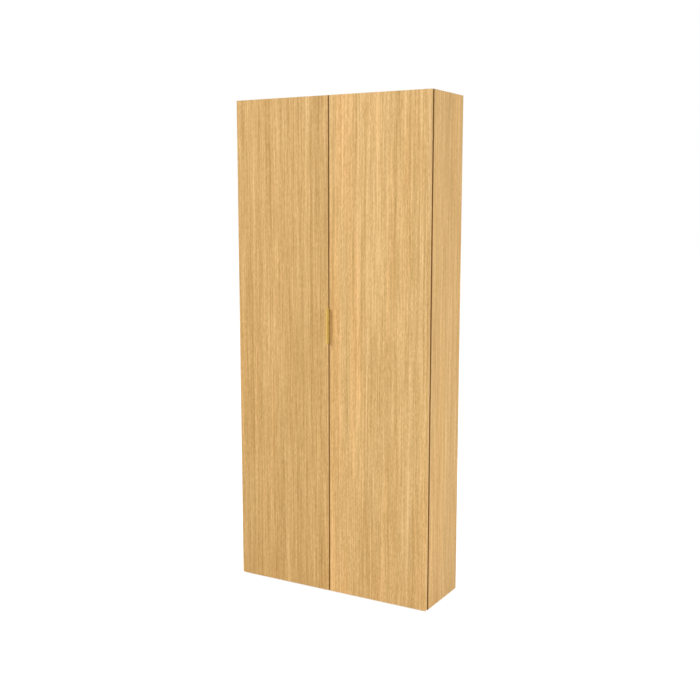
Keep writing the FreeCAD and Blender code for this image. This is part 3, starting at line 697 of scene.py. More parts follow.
@dataclass(frozen=True)
class Wood(Finish):
    """Pale oak with a matt lacquer.

    Attributes:
        deep, middle, pale: the colours of its figure, from the darkest to the palest.
        warm: what the colour of its warmest streaks is multiplied by.
        pore, pore_share: the colour of its pores, and how much it shows.
        worn, worn_share: the colour of its rubbed arrises, paler partly as wear and partly as a painted
            highlight, and how much it shows.
        roughness: its middle roughness.
        gloss_swing: how much smoother its palest wood is than its darkest.
        pore_roughness: how much rougher its pores are.
        specular: how strongly its lacquer mirrors.
        relief, relief_share: how deep its grain is, and how much of that shows.
    """

    deep: Colour = display(189, 148, 88)
    middle: Colour = display(218, 177, 115)
    pale: Colour = display(247, 207, 146)
    warm: Colour = (1.06, 0.977, 0.88, 1.0)
    pore: Colour = display(166, 124, 68)
    pore_share: float = 0.55
    # Pale arris colour: partly rubbed wear, partly a painted highlight on the edges.
    worn: Colour = display(240, 204, 150)
    worn_share: float = 0.15
    roughness: float = 0.52
    gloss_swing: float = 0.10
    pore_roughness: float = 0.15
    specular: float = 0.15
    relief: float = 0.0002
    relief_share: float = 0.25

    @staticmethod
    def turned(axes: Sequence[Socket], run: int) -> list[Socket]:
        """The axes in the order that the figure takes: two across the grain, and the one along it."""
        return [axes[axis] for axis in AXES if axis != run] + [axes[run]]

    def figured(self, graph: MaterialGraph, given: Mapping[str, Any]) -> Socket:
        """Lays the figure of the wood on a surface, with its gloss and its relief.

        Args:
            graph: the material's graph.
            given: values for the figure's inputs.

        Returns:
            The colour of the wood.
        """
        figure = OakFigure.place(graph, given)
        wood = graph.ramp(figure["Tone"], ((0.0, self.deep), (HALF, self.middle), (1.0, self.pale)))
        wood = graph.blend(figure["Warmth"], wood, self.warm, "MULTIPLY")
        gloss = graph.swung(figure["Tone"], -self.gloss_swing, self.roughness)
        graph.feed("Roughness", graph.math("MULTIPLY_ADD", figure["Pores"], self.pore_roughness, gloss))
        graph.feed("Specular IOR Level", self.specular)
        graph.bump(figure["Height"], self.relief_share, self.relief)
        return graph.blend(graph.times(figure["Pores"], self.pore_share), wood, self.pore)


@dataclass(frozen=True)
class OakVeneer(Wood):
    """Pale oak veneer on board, with banded edges and a chipboard core.

    Attributes:
        lip: what the colour of the wood is multiplied by on an edge in a narrow gap, as painted shade for the
            gap's shadow.
        chips, dark_chips: the colours of the core.
        chip_pitch: how wide its chips are.
        chip_noise: how detailed and how rough its pattern is.
        chip_edge: where in that pattern the dark chips end and the pale ones begin.
        raw_depth: how deep the core shows from a rear edge without a band.
    """

    slot: str = "oak_veneer"
    # Painted shade: this deeper brown on edges in the gaps stands in for the gaps' shadow.
    lip: Colour = (0.34, 0.25, 0.13, 1.0)
    chips: Colour = display(205, 172, 128)
    dark_chips: Colour = display(150, 116, 76)
    chip_pitch: float = 0.0014
    chip_noise: Pair = (2.0, 0.7)
    chip_edge: Pair = (0.35, 0.6)
    raw_depth: float = 0.0003

    def coat(self, name: str, box: Box, board: "Board") -> bpy.types.Material:
        """Makes the material of one board.

        Args:
            name: the material's name.
            box: the board's box.
            board: its grain, its veneer and its edges.

        Returns:
            The material.
        """
        graph = MaterialGraph(name)
        place, run = graph.place, board.grain.value
        across = next(axis for axis in AXES if axis not in (run, box.thin_axis))
        axes = graph.split(place)
        way = Vector([float(axis == run) for axis in AXES])
        skin = BoardSkin.place(graph, {"Position": place, "Low": box.low, "High": box.high, "Run": way})
        along = graph.between(skin["End"], graph.join(*self.turned(axes, run)),
                              graph.join(*self.turned(axes, across)))
        given = {"Along": along, "Seed": board.seed, "Shade": board.shade, "Contrast": board.contrast,
                 "Warm Share": board.warmth, **board.cut.value}
        wood = self.figured(graph, given)
        # Lightens the arrises: partly rubbed wear, partly a painted highlight.
        wood = graph.blend(graph.times(skin["Worn"], self.worn_share), wood, self.worn)
        # Painted shade: the edge that lies in a narrow gap between the doors and the case is darkened to
        # stand in for the gap's shadow.
        if board.lipping is not None:
            axis, end, width, depth = board.lipping.value
            edge = box.high[axis] if end > 0 else box.low[axis]
            inset = graph.math("ABSOLUTE", graph.less(axes[axis], edge))
            gap_shade_strip = graph.times(graph.math("LESS_THAN", inset, width), depth)
            wood = graph.blend(gap_shade_strip, wood, self.lip, "MULTIPLY")
        chip = graph.noise(graph.scaled(place, 1.0 / self.chip_pitch), *self.chip_noise)
        core = graph.ramp(chip, tuple(zip(self.chip_edge, (self.dark_chips, self.chips))))
        bare: Any = skin["Core"]
        if board.raw_back:
            rear = graph.math("GREATER_THAN", axes[1], box.high.y - self.raw_depth)
            bare = graph.math("MAXIMUM", bare, rear)
        graph.feed("Base Color", graph.blend(bare, wood, core))
        return graph.material


@dataclass(frozen=True)
class SolidOak(Wood):
    """Solid oak, planed or turned, with a closer figure than the veneer's.

    Attributes:
        band_pitch, band_run: how wide and how long its bands are.
        line_pitch: how wide its growth lines are.
    """

    slot: str = "solid_oak"
    middle: Colour = display(210, 167, 108)
    band_pitch: float = 0.014
    band_run: float = 0.5
    line_pitch: float = 0.0036

    def coat(self, name: str, grain: Grain, seed: float) -> bpy.types.Material:
        """Makes the material of a piece.

        Args:
            name: the last word of the material's name.
            grain: the way that the grain runs.
            seed: which stretch of the tree the piece was cut from.

        Returns:
            The material.
        """
        graph = MaterialGraph(f"{self.slot}.{name}")
        along = graph.join(*self.turned(graph.split(graph.place), grain.value))
        given = {"Along": along, "Seed": seed, "Band Pitch": self.band_pitch, "Band Run": self.band_run,
                 "Line Pitch": self.line_pitch}
        graph.feed("Base Color", self.figured(graph, given))
        return graph.material


@dataclass(frozen=True)
class BackBoard(Wood):
    """Thin fibreboard with an oak face inside and bare brown fibres behind.

    Attributes:
        fibre, dark_fibre: the colours of its fibres.
        fibre_pitch, fibre_run: how wide and how long its fibres are.
        fibre_noise: how detailed and how rough their pattern is.
        fibre_edge: where in that pattern the dark fibres end and the pale ones begin.
        face_depth: how thick its oak face is.
    """

    slot: str = "back_board"
    fibre: Colour = display(171, 128, 86)
    dark_fibre: Colour = display(128, 90, 56)
    fibre_pitch: float = 0.0022
    fibre_run: float = 0.009
    fibre_noise: Pair = (3.0, 0.65)
    fibre_edge: Pair = (0.36, 0.58)
    face_depth: float = 0.0004

    def coat(self, name: str, box: Box, seed: float) -> bpy.types.Material:
        """Makes the material of the panel, with its grain upright.

        Args:
            name: the last word of the material's name.
            box: the panel's box.
            seed: which stretch of the tree its oak face was cut from.

        Returns:
            The material.
        """
        graph = MaterialGraph(f"{self.slot}.{name}")
        axes = graph.split(graph.place)
        along = graph.join(*self.turned(axes, Grain.UPRIGHT.value))
        wood = self.figured(graph, {"Along": along, "Seed": seed})
        fine, slow = 1.0 / self.fibre_pitch, 1.0 / self.fibre_run
        strands = graph.noise(graph.vector("MULTIPLY", graph.place, (slow, fine, fine)), *self.fibre_noise)
        fibres = graph.ramp(strands, tuple(zip(self.fibre_edge, (self.dark_fibre, self.fibre))))
        inside = graph.math("LESS_THAN", axes[1], box.low.y + self.face_depth)
        graph.feed("Base Color", graph.blend(inside, fibres, wood))
        return graph.material


@dataclass(frozen=True)
class Shared(Finish, ABC):
    """A finish whose one material goes on every piece that has it."""

    @abstractmethod
    def draw(self, graph: MaterialGraph) -> None:
        """Draws the material's nodes."""

    def coat(self) -> bpy.types.Material:
        """Finds the material, or makes it.

        Returns:
            The material.
        """
        name = f"{self.slot}_finish"
        if name not in bpy.data.materials:
            self.draw(MaterialGraph(name))
        return bpy.data.materials[name]

    @staticmethod
    def arris(graph: Graph) -> Socket:
        """The mask of a piece's eased edges, which is 0 on a piece that has none."""
        return graph.add("ShaderNodeAttribute", attribute_name="arris").outputs["Fac"]


@dataclass(frozen=True)
class Metal(Shared):
    """A plated, brushed or cast metal.

    Attributes:
        tone, dull, bright: its colour, the colour of its smudges and that of its rubbed arrises.
        roughness: its middle roughness.
        metallic: how much of it is bare metal under its lacquer.
        stroke: how many strokes of its grain there are in a metre, along x, y and z.
        line_swing: how much rougher the ridges of its grain are than the valleys.
        smudge_share, smudge_roughness: how much its smudges show, and how much rougher they are.
        relief, relief_share: how deep its grain is, and how much of that shows.
    """

    tone: Colour
    dull: Colour
    bright: Colour
    roughness: float = 0.34
    metallic: float = 1.0
    stroke: tuple[float, float, float] = (2400.0, 2400.0, 2400.0)
    line_swing: float = 0.16
    smudge_share: float = 0.5
    smudge_roughness: float = 0.08
    relief: float = 0.00002
    relief_share: float = 0.3

    def draw(self, graph: MaterialGraph) -> None:
        """Draws the metal with its grain, its smudges and its rubbed arrises.

        Args:
            graph: the material's graph.
        """
        given = {"Position": graph.place, "Stroke": self.stroke, "Arris": self.arris(graph)}
        skin = MetalSkin.place(graph, given)
        colour = graph.blend(graph.times(skin["Smudge"], self.smudge_share), self.tone, self.dull)
        graph.feed("Base Color", graph.blend(skin["Rub"], colour, self.bright))
        lined = graph.swung(skin["Lines"], self.line_swing, self.roughness)
        graph.feed("Roughness", graph.math("MULTIPLY_ADD", skin["Smudge"], self.smudge_roughness, lined))
        graph.feed("Metallic", self.metallic)
        graph.bump(skin["Lines"], self.relief_share, self.relief)


@dataclass(frozen=True)
class Moulded(Shared):
    """A moulded or pressed material.

    Attributes:
        tone, cloud: its colour, and that of its faint clouds.
        bright, bright_share: the colour of its arrises, and how much it shows.
        roughness: its middle roughness.
        cloud_swing: how much rougher its clouds are.
        cloud_edge: where in their pattern its clouds begin and end.
        grain_pitch: the width of its grain.
        relief, relief_share: how deep its grain is, and how much of that shows.
        clear_share: how much light goes through it.
    """

    tone: Colour
    cloud: Colour
    bright: Colour
    bright_share: float = 0.6
    roughness: float = 0.42
    cloud_swing: float = 0.2
    cloud_edge: Pair = (0.35, 0.65)
    grain_pitch: float = 0.0005
    relief: float = 0.00004
    relief_share: float = 0.2
    clear_share: float = 0.0

    def draw(self, graph: MaterialGraph) -> None:
        """Draws the material with its grain, its clouds and its arrises.

        Args:
            graph: the material's graph.
        """
        mould = MouldGrain.place(graph, {"Position": graph.place, "Grain Pitch": self.grain_pitch})
        colour = graph.blend(graph.ease(mould["Clouds"], *self.cloud_edge), self.tone, self.cloud)
        colour = graph.blend(graph.times(self.arris(graph), self.bright_share), colour, self.bright)
        graph.feed("Base Color", colour)
        graph.feed("Roughness", graph.swung(mould["Clouds"], self.cloud_swing, self.roughness))
        graph.feed("Transmission Weight", self.clear_share)
        graph.bump(mould["Grain"], self.relief_share, self.relief)


@dataclass(frozen=True)
class Finishes:
    """The finishes of the whole cupboard."""

    veneer: OakVeneer = OakVeneer()
    oak: SolidOak = SolidOak()
    back_board: BackBoard = BackBoard()
    brass: Metal = Metal("satin_brass", display(218, 185, 99), display(204, 170, 86), display(238, 208, 128),
                         roughness=0.42, metallic=0.2, stroke=(7000.0, 7000.0, 180.0))
    nickel: Metal = Metal("nickel_steel", display(206, 204, 200), display(184, 181, 176),
                          display(232, 231, 228), metallic=0.8)
    zinc: Metal = Metal("zinc_steel", display(186, 188, 186), display(158, 158, 150), display(220, 222, 222))
    casting: Metal = Metal("zinc_casting", display(158, 160, 163), display(128, 130, 133),
                           display(196, 198, 201), roughness=0.46, stroke=(900.0, 900.0, 900.0),
                           relief=0.00006)
    magnet: Moulded = Moulded("dark_magnet", display(58, 56, 56), display(42, 41, 42), display(92, 90, 90),
                              roughness=0.55, grain_pitch=0.0003)
    white_plastic: Moulded = Moulded("white_plastic", display(236, 234, 228), display(228, 226, 219),
                                     display(246, 245, 241))
    brown_plastic: Moulded = Moulded("brown_plastic", display(104, 74, 50), display(90, 63, 42),
                                     display(138, 104, 76), roughness=0.48)
    rubber: Moulded = Moulded("clear_rubber", display(238, 238, 232), display(228, 229, 224),
                              display(246, 246, 243), roughness=0.25, grain_pitch=0.0008, clear_share=0.7)


def wear(node: str, material: bpy.types.Material) -> None:
    """Puts a material on a CAD node.

    Args:
        node: the node's name.
        material: the material that takes the place of its plain one.
    """
    for holder in frame["nodes"][node].material_slots:
        holder.material = material
    log.info("%s wears %s", node, material.name)


def adopt(piece: bpy.types.Object, node: str) -> None:
    """Lets a finished piece stand for a CAD node, on the node's own body.

    Args:
        piece: the finished piece.
        node: the node's name.
    """
    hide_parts(node)
    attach(piece, frame["nodes"][node]["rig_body"])
    log.info("%s stands for %s, with %d faces", piece.name, node, len(piece.data.polygons))


def placed(name: str, data: bpy.types.ID) -> bpy.types.Object:
    """Puts a mesh, a lamp or a camera into the scene.

    Args:
        name: the new object's name.
        data: what the object shows.

    Returns:
        The new object.
    """
    piece = bpy.data.objects.new(name, data)
    bpy.context.scene.collection.objects.link(piece)
    return piece


def settle(piece: bpy.types.Object) -> None:
    """Turns a piece's live modifiers into a plain mesh.

    Args:
        piece: the piece, which loses its modifiers.
    """
    depsgraph = bpy.context.evaluated_depsgraph_get()
    piece.data = bpy.data.meshes.new_from_object(piece.evaluated_get(depsgraph))
    piece.modifiers.clear()


@dataclass(frozen=True)
class EasedEdges:
    """How the sharp edges of a machined, pressed or moulded piece are eased.

    Attributes:
        width: how wide the eased edge is.
        rings: how many rings of faces it has.
        sharp: the least angle of an edge that is eased.
        flat: the most that faces may turn to count as one.
    """

    width: float = 0.0002
    rings: int = 2
    sharp: float = math.radians(35)
    flat: float = math.radians(0.5)
    MARK: ClassVar[int] = 1

    def plain_mesh(self, node: str) -> bpy.types.Mesh:
        """Copies a CAD node's mesh, with its flat faces whole.

        Args:
            node: the node's name.

        Returns:
            The new mesh, smooth but for its sharp edges.
        """
        net = welded_net(node)
        bmesh.ops.dissolve_limit(net, angle_limit=self.flat, verts=net.verts, edges=net.edges)
        net.verts.index_update()
        points = [tuple(vert.co) for vert in net.verts]
        faces = [[vert.index for vert in face.verts] for face in net.faces]
        net.free()
        mesh = bpy.data.meshes.new(f"{node}_eased")
        mesh.from_pydata(points, [], faces)
        mesh.polygons.foreach_set("use_smooth", [True] * len(faces))
        mesh.set_sharp_from_angle(angle=self.sharp)
        return mesh

    def apply(self, node: str, finish: Shared) -> None:
        """Makes an eased copy of a CAD node that stands for it, with a mask on its eased edges.

        Args:
            node: the node's name.
            finish: what the piece is made of.
        """
        mesh = self.plain_mesh(node)
        for _ in range(self.MARK + 1):
            mesh.materials.append(finish.coat())
        piece = placed(mesh.name, mesh)
        bevel = piece.modifiers.new("eased_edges", "BEVEL")
        bevel.width = self.width
        bevel.segments = self.rings
        bevel.limit_method = "ANGLE"
        bevel.angle_limit = self.sharp
        bevel.harden_normals = True
        bevel.material = self.MARK
        settle(piece)
        # The bevel marks its faces by a material slot of their own, which then gives way to the mask.
        faces = piece.data.polygons
        marks = [face.material_index for face in faces]
        piece.data.attributes.new("arris", "FLOAT", "FACE").data.foreach_set("value", marks)
        faces.foreach_set("material_index", [0] * len(marks))
        piece.data.materials.pop(index=self.MARK)
        adopt(piece, node)


@dataclass(frozen=True)
class Recipe(ABC):
    """A Geometry Nodes tree that sets one shape on every seat. It is drawn at its first use.

    The shape's seen face is at its origin and looks up, and the rest of it is below. Its x axis stays upright
    where the seen face looks sideways. The fields of a recipe are its sizes, and the tree has an input for
    each. Its length and its radius are measured on the solids that it stands for.
    """

    label: ClassVar[str]
    spin: ClassVar[float] = 0.0
    sides: ClassVar[int] = 32
    SOCKETS: ClassVar[dict[str, str]] = {
        "Seats": GEOMETRY, "Material": MATERIAL, "Seed": WHOLE, "Spin": FLOAT, "Length": FLOAT,
        "Radius": FLOAT,
    }
    SHARP: ClassVar[float] = math.radians(32)
    SEED: ClassVar[int] = 5
    CHANCE_MOST: ClassVar[int] = 3
    CHANCE_VALUE: ClassVar[int] = 1

    @property
    def sizes(self) -> dict[str, float]:
        """The recipe's own sizes, by the names of the tree's inputs."""
        return {name.replace("_", " ").title(): value for name, value in asdict(self).items()}

    @abstractmethod
    def draw(self, graph: GroupGraph) -> Socket:
        """Draws one shape from the tree's named sizes."""

    def turn(self, graph: GroupGraph) -> Socket:
        """Turns the shape on its seat: outward, upright, then spun by chance.

        Args:
            graph: the tree's graph.

        Returns:
            The turn of each seat.
        """
        given = graph.given
        seat = graph.add("GeometryNodeInputNamedAttribute", {"Name": "outward"}, data_type="FLOAT_VECTOR")
        out = graph.add("FunctionNodeAlignRotationToVector", {"Vector": seat.outputs[0]}, axis="Z")
        given_up = {"Rotation": out.outputs[0], "Vector": UP}
        upright = graph.add("FunctionNodeAlignRotationToVector", given_up, axis="X", pivot_axis="Z")
        # The sockets of the random node go by number, because several of them have the same name.
        given_chance = {self.CHANCE_MOST: given["Spin"], "Seed": given["Seed"]}
        chance = graph.add("FunctionNodeRandomValue", given_chance).outputs[self.CHANCE_VALUE]
        spun = graph.add("FunctionNodeAxisAngleToRotation", {"Axis": UP, "Angle": chance})
        both = {"Rotation": upright.outputs[0], "Rotate By": spun.outputs[0]}
        return graph.add("FunctionNodeRotateRotation", both, rotation_space="LOCAL").outputs[0]

    def tree(self) -> bpy.types.NodeTree:
        """Finds the recipe's node tree, or makes it.

        Returns:
            The node tree.
        """
        if self.label not in bpy.data.node_groups:
            kinds = self.SOCKETS | dict.fromkeys(self.sizes, FLOAT)
            graph = GroupGraph(self.label, "GeometryNodeTree", kinds, {"Pieces": GEOMETRY})
            shape = graph.softened(self.draw(graph), self.SHARP)
            spread = {"Points": graph.given["Seats"], "Instance": shape, "Rotation": self.turn(graph)}
            spread_out = graph.add("GeometryNodeInstanceOnPoints", spread).outputs[0]
            real = graph.add("GeometryNodeRealizeInstances", {"Geometry": spread_out}).outputs[0]
            paint = {"Geometry": real, "Material": graph.given["Material"]}
            graph.put(graph.result["Pieces"], graph.add("GeometryNodeSetMaterial", paint).outputs[0])
        return bpy.data.node_groups[self.label]

    def grow(self, node: str, way: Way, finish: Finish, material: bpy.types.Material) -> None:
        """Grows the shape on the seats of a CAD node's solids, and lets the result stand for the node.

        Args:
            node: the node's name.
            way: the way that the seen faces look.
            finish: what the pieces are made of; not used.
            material: the finish's material.
        """
        boxes = solids(node)
        seats = [Seat.on(box, way) for box in boxes]
        cloud = bpy.data.meshes.new(f"{node}_seats")
        cloud.from_pydata([seat.place for seat in seats], [], [])
        outward = cloud.attributes.new("outward", "FLOAT_VECTOR", "POINT")
        for entry, seat in zip(outward.data, seats):
            entry.vector = seat.outward
        size, axis = boxes[0].size, seats[0].outward
        length = axis.dot(size)
        given = {"Material": material, "Seed": self.SEED, "Spin": self.spin, "Length": abs(length),
                 "Radius": max(size - axis * length) / 2, **self.sizes}
        piece = placed(f"{node}_set", cloud)
        modifier = piece.modifiers.new(self.label, "NODES")
        modifier.node_group = self.tree()
        for socket in modifier.node_group.interface.items_tree:
            if socket.name in given:
                modifier[socket.identifier] = given[socket.name]
        settle(piece)
        adopt(piece, node)


@dataclass(frozen=True)
class CrossScrew(Recipe):
    """A screw with a cross recess in its head."""

    shank_radius: float = 0.0016
    head_height: float = 0.0011
    rim: float = 0.00012
    recess_depth: float = 0.0008
    recess_share: float = 0.62
    core_share: float = 0.2
    spin: ClassVar[float] = math.tau
    sides: ClassVar[int] = 24
    ARMS: ClassVar[int] = 4
    TAPER: ClassVar[float] = 0.5

    @abstractmethod
    def under(self, graph: GroupGraph, shank: Socket, end: Socket) -> Outline:
        """The screw's outline from below the rim of its head to the end of its shank."""

    def draw(self, graph: GroupGraph) -> Socket:
        """Draws the face with its recess and its rim, and the turned screw under it.

        Args:
            graph: the tree's graph.

        Returns:
            The screw's mesh.
        """
        given = graph.given
        face_radius = graph.less(given["Radius"], given["Rim"])
        rim = {"Resolution": self.sides, "Radius": face_radius}
        edge = graph.add("GeometryNodeCurvePrimitiveCircle", rim).outputs["Curve"]
        arms = {"Points": self.ARMS, "Outer Radius": graph.times(face_radius, given["Recess Share"]),
                "Inner Radius": graph.times(face_radius, given["Core Share"])}
        cross = graph.add("GeometryNodeCurveStar", arms).outputs["Curve"]
        both = graph.together([edge, cross])
        face = graph.add("GeometryNodeFillCurve", {"Curve": both}).outputs["Mesh"]
        floor = graph.add("GeometryNodeFillCurve", {"Curve": cross}).outputs["Mesh"]
        sink = {"Mesh": floor, "Offset Scale": graph.below(given["Recess Depth"]), "Individual": False}
        sunk = graph.add("GeometryNodeExtrudeMesh", sink)
        taper = {"Geometry": sunk.outputs["Mesh"], "Selection": sunk.outputs["Top"], "Scale": self.TAPER}
        pit = graph.add("GeometryNodeScaleElements", taper).outputs[0]
        shank, end = given["Shank Radius"], graph.below(given["Length"])
        outline = [(face_radius, 0.0), (given["Radius"], graph.below(given["Rim"])),
                   *self.under(graph, shank, end), (0.0, end)]
        return graph.welded([face, pit, graph.lathe(outline, self.sides)])


@dataclass(frozen=True)
class WoodScrew(CrossScrew):
    """A countersunk wood screw, flush with what it holds."""

    label: ClassVar[str] = "wood_screw"
    tip: float = 0.0035

    def under(self, graph: GroupGraph, shank: Socket, end: Socket) -> Outline:
        """The countersink, and the shank down to the start of its point."""
        tip = graph.math("ADD", end, graph.given["Tip"])
        return [(shank, graph.below(graph.given["Head Height"])), (shank, tip)]


@dataclass(frozen=True)
class PanScrew(CrossScrew):
    """A machine screw whose round head stands on what it holds."""

    label: ClassVar[str] = "pan_screw"
    shank_radius: float = 0.0020
    head_height: float = 0.0016
    rim: float = 0.0005
    recess_depth: float = 0.0010
    recess_share: float = 0.66

    def under(self, graph: GroupGraph, shank: Socket, end: Socket) -> Outline:
        """The side of the head, its flat underside and the shank."""
        seat = graph.below(graph.given["Head Height"])
        return [(graph.given["Radius"], seat), (shank, seat), (shank, end)]


@dataclass(frozen=True)
class Turning(Recipe):
    """A turned shape that is closed at both ends."""

    ARC_STEPS: ClassVar[int] = 5

    @abstractmethod
    def outline(self, graph: GroupGraph) -> Outline:
        """The shape's outline from its seen face down, without the points on its axis."""

    def rounded(self, graph: Graph, radius: Any, wide: Any, high: Any) -> Outline:
        """Draws a quarter round from the seen face down to a side.

        Args:
            graph: the tree's graph.
            radius: the radius of the side.
            wide, high: how far the round reaches inwards and down.

        Returns:
            The outline's points, from the face to the side.
        """
        points = []
        for step in range(self.ARC_STEPS + 1):
            angle = math.pi / 2 * step / self.ARC_STEPS
            inset = graph.times(wide, 1 - math.sin(angle))
            points.append((graph.less(radius, inset), graph.below(graph.times(high, 1 - math.cos(angle)))))
        return points

    def draw(self, graph: GroupGraph) -> Socket:
        """Turns the outline, with a flat end at the top and the bottom.

        Args:
            graph: the tree's graph.

        Returns:
            The turned mesh.
        """
        outline = self.outline(graph)
        top, bottom = (0.0, outline[0][1]), (0.0, outline[-1][1])
        return graph.lathe([top, *outline, bottom], self.sides)


@dataclass(frozen=True)
class TurnedPeg(Turning):
    """A peg for brooms: a shank that swells into a domed knob."""

    label: ClassVar[str] = "turned_peg"
    shank_radius: float = 0.006
    dome: float = 0.005
    dome_share: float = 0.75
    neck: float = 0.009
    chamfer: float = 0.0008
    SWELL_STEPS: ClassVar[int] = 8

    def outline(self, graph: GroupGraph) -> Outline:
        """Draws the dome, the swelling and the shank with its chamfered end.

        Args:
            graph: the tree's graph.

        Returns:
            The outline, from the top down.
        """
        given = graph.given
        radius, shank, end = given["Radius"], given["Shank Radius"], graph.below(given["Length"])
        points = self.rounded(graph, radius, graph.times(radius, given["Dome Share"]), given["Dome"])
        swell = graph.less(shank, radius)
        for step in range(1, self.SWELL_STEPS + 1):
            share = step / self.SWELL_STEPS
            eased = (1 - math.cos(math.pi * share)) / 2
            drop = graph.math("MULTIPLY_ADD", given["Neck"], share, given["Dome"])
            points.append((graph.math("MULTIPLY_ADD", swell, eased, radius), graph.below(drop)))
        points.append((shank, graph.math("ADD", end, given["Chamfer"])))
        points.append((graph.less(shank, given["Chamfer"]), end))
        return points


@dataclass(frozen=True)
class Bumper(Turning):
    """A soft bumper with a rounded face."""

    label: ClassVar[str] = "bumper"
    rounding: float = 0.0022

    def outline(self, graph: GroupGraph) -> Outline:
        """The rounded face and the straight side."""
        side, soft = graph.given["Radius"], graph.given["Rounding"]
        return [*self.rounded(graph, side, soft, soft), (side, graph.below(graph.given["Length"]))]


@dataclass(frozen=True)
class NailGlide(Turning):
    """A glide with a rounded foot and a nail."""

    label: ClassVar[str] = "nail_glide"
    foot_radius: float = 0.0085
    height: float = 0.004
    spread_height: float = 0.0032
    rounding: float = 0.0012
    nail_radius: float = 0.0013

    def outline(self, graph: GroupGraph) -> Outline:
        """Draws the foot, the spreading side, the flat top and the nail.

        Args:
            graph: the tree's graph.

        Returns:
            The outline, from the foot on.
        """
        given = graph.given
        side, nail, top = given["Radius"], given["Nail Radius"], graph.below(given["Height"])
        points = self.rounded(graph, given["Foot Radius"], given["Rounding"], given["Rounding"])
        points += [(side, graph.below(given["Spread Height"])), (side, top), (nail, top)]
        return points + [(nail, graph.below(given["Length"]))]


@dataclass(frozen=True)
class ShelfSupport(Recipe):
    """A shelf support: a stem in the wall and a flat tab with rounded corners under the shelf."""

    label: ClassVar[str] = "shelf_support"
    stem_radius: float = 0.0025
    tab_length: float = 0.009
    tab_thickness: float = 0.003
    corner: float = 0.0018
    CORNER_STEPS: ClassVar[int] = 5

    def draw(self, graph: GroupGraph) -> Socket:
        """Draws the tab, whose top is level with the top of the stem, and the stem behind it.

        Args:
            graph: the tree's graph.

        Returns:
            The support's mesh.
        """
        given = graph.given
        stem, reach = given["Stem Radius"], graph.below(given["Tab Length"])
        end = graph.below(given["Length"])
        sheet = {"Width": given["Tab Length"], "Height": graph.times(given["Radius"], 2.0)}
        outline = graph.add("GeometryNodeCurvePrimitiveQuadrilateral", sheet).outputs[0]
        given_round = {"Curve": outline, "Count": self.CORNER_STEPS, "Radius": given["Corner"],
                       "Limit Radius": True}
        rounded = graph.add("GeometryNodeFilletCurve", given_round, mode="POLY").outputs[0]
        floor = graph.add("GeometryNodeFillCurve", {"Curve": rounded}).outputs[0]
        raised = {"Mesh": floor, "Offset Scale": given["Tab Thickness"], "Individual": False}
        top = graph.add("GeometryNodeExtrudeMesh", raised).outputs["Mesh"]
        under = graph.add("GeometryNodeFlipFaces", {"Mesh": floor}).outputs[0]
        low = graph.less(stem, given["Tab Thickness"])
        shift = {"Geometry": graph.welded([top, under]),
                 "Translation": graph.join(low, 0.0, graph.times(reach, HALF)),
                 "Rotation": (0.0, math.pi / 2, 0.0)}
        tab = graph.add("GeometryNodeTransform", shift).outputs[0]
        rod = graph.lathe([(0.0, reach), (stem, reach), (stem, end), (0.0, end)], self.sides)
        return graph.together([tab, rod])


@dataclass(frozen=True)
class Board:
    """One veneered board.

    Attributes:
        node: its CAD node.
        grain: the way that its grain runs.
        seed: which stretch of the tree its veneer was cut from.
        cut: how it was cut from there.
        shade: how much paler than the middle tone its veneer is.
        contrast: how strong its figure is.
        warmth: how strong its warm streaks are.
        raw_back: whether its rear edge has no band, so that the core shows.
        lipping: which edge lies in a narrow gap and is darkened there as painted shade, if any.
    """

    node: str
    grain: Grain
    seed: float
    shade: float = 0.0
    contrast: float = 1.0
    warmth: float = 0.5
    cut: Cut = Cut.CROWN
    raw_back: bool = False
    lipping: GapShadeEdge | None = None

    def dress(self, finish: OakVeneer) -> None:
        """Gives the board its own stretch of veneer."""
        wear(self.node, finish.coat(f"{finish.slot}.{self.node}", Box.of(self.node), self))


@dataclass(frozen=True)
class SubAssembly(ABC):
    """A group of pieces that are dressed and built together."""

    finishes: Finishes

    def dress(self) -> None:
        """Gives the CAD nodes that stay as they are their finishes, where there are any."""

    @abstractmethod
    def build(self) -> None:
        """Makes the meshes that stand for CAD nodes, with their finishes."""


@dataclass(frozen=True)
class Carcass(SubAssembly):
    """The case: its boards, its back panel with its screws, and its fixing rails."""

    screw: WoodScrew = WoodScrew()
    boards: tuple[Board, ...] = (
        Board("side_panel_left", Grain.UPRIGHT, 3.0, contrast=0.85, cut=Cut.QUARTER, raw_back=True,
              lipping=GapShadeEdge.FRONT),
        Board("side_panel_right", Grain.UPRIGHT, 4.0, contrast=0.85, cut=Cut.QUARTER, raw_back=True,
              lipping=GapShadeEdge.FRONT),
        Board("top_panel", Grain.SIDEWAYS, 5.0, raw_back=True, lipping=GapShadeEdge.FRONT),
        Board("bottom_panel", Grain.SIDEWAYS, 6.0, raw_back=True, lipping=GapShadeEdge.FRONT),
        Board("centre_partition", Grain.UPRIGHT, 7.0, raw_back=True, lipping=GapShadeEdge.FRONT),
    )
    back_seed: float = 8.0
    rail_seed: float = 9.0

    def dress(self) -> None:
        """Gives the boards their veneer, and the back panel and the rails their wood."""
        for board in self.boards:
            board.dress(self.finishes.veneer)
        wear("back_panel", self.finishes.back_board.coat("panel", Box.of("back_panel"), self.back_seed))
        rails = self.finishes.oak.coat("fixing_rails", Grain.SIDEWAYS, self.rail_seed)
        for side in SIDES:
            wear(f"fixing_rail_{side}", rails)

    def build(self) -> None:
        """Drives the screws of the back panel."""
        zinc = self.finishes.zinc
        self.screw.grow("back_screws", Way.BACK, zinc, zinc.coat())


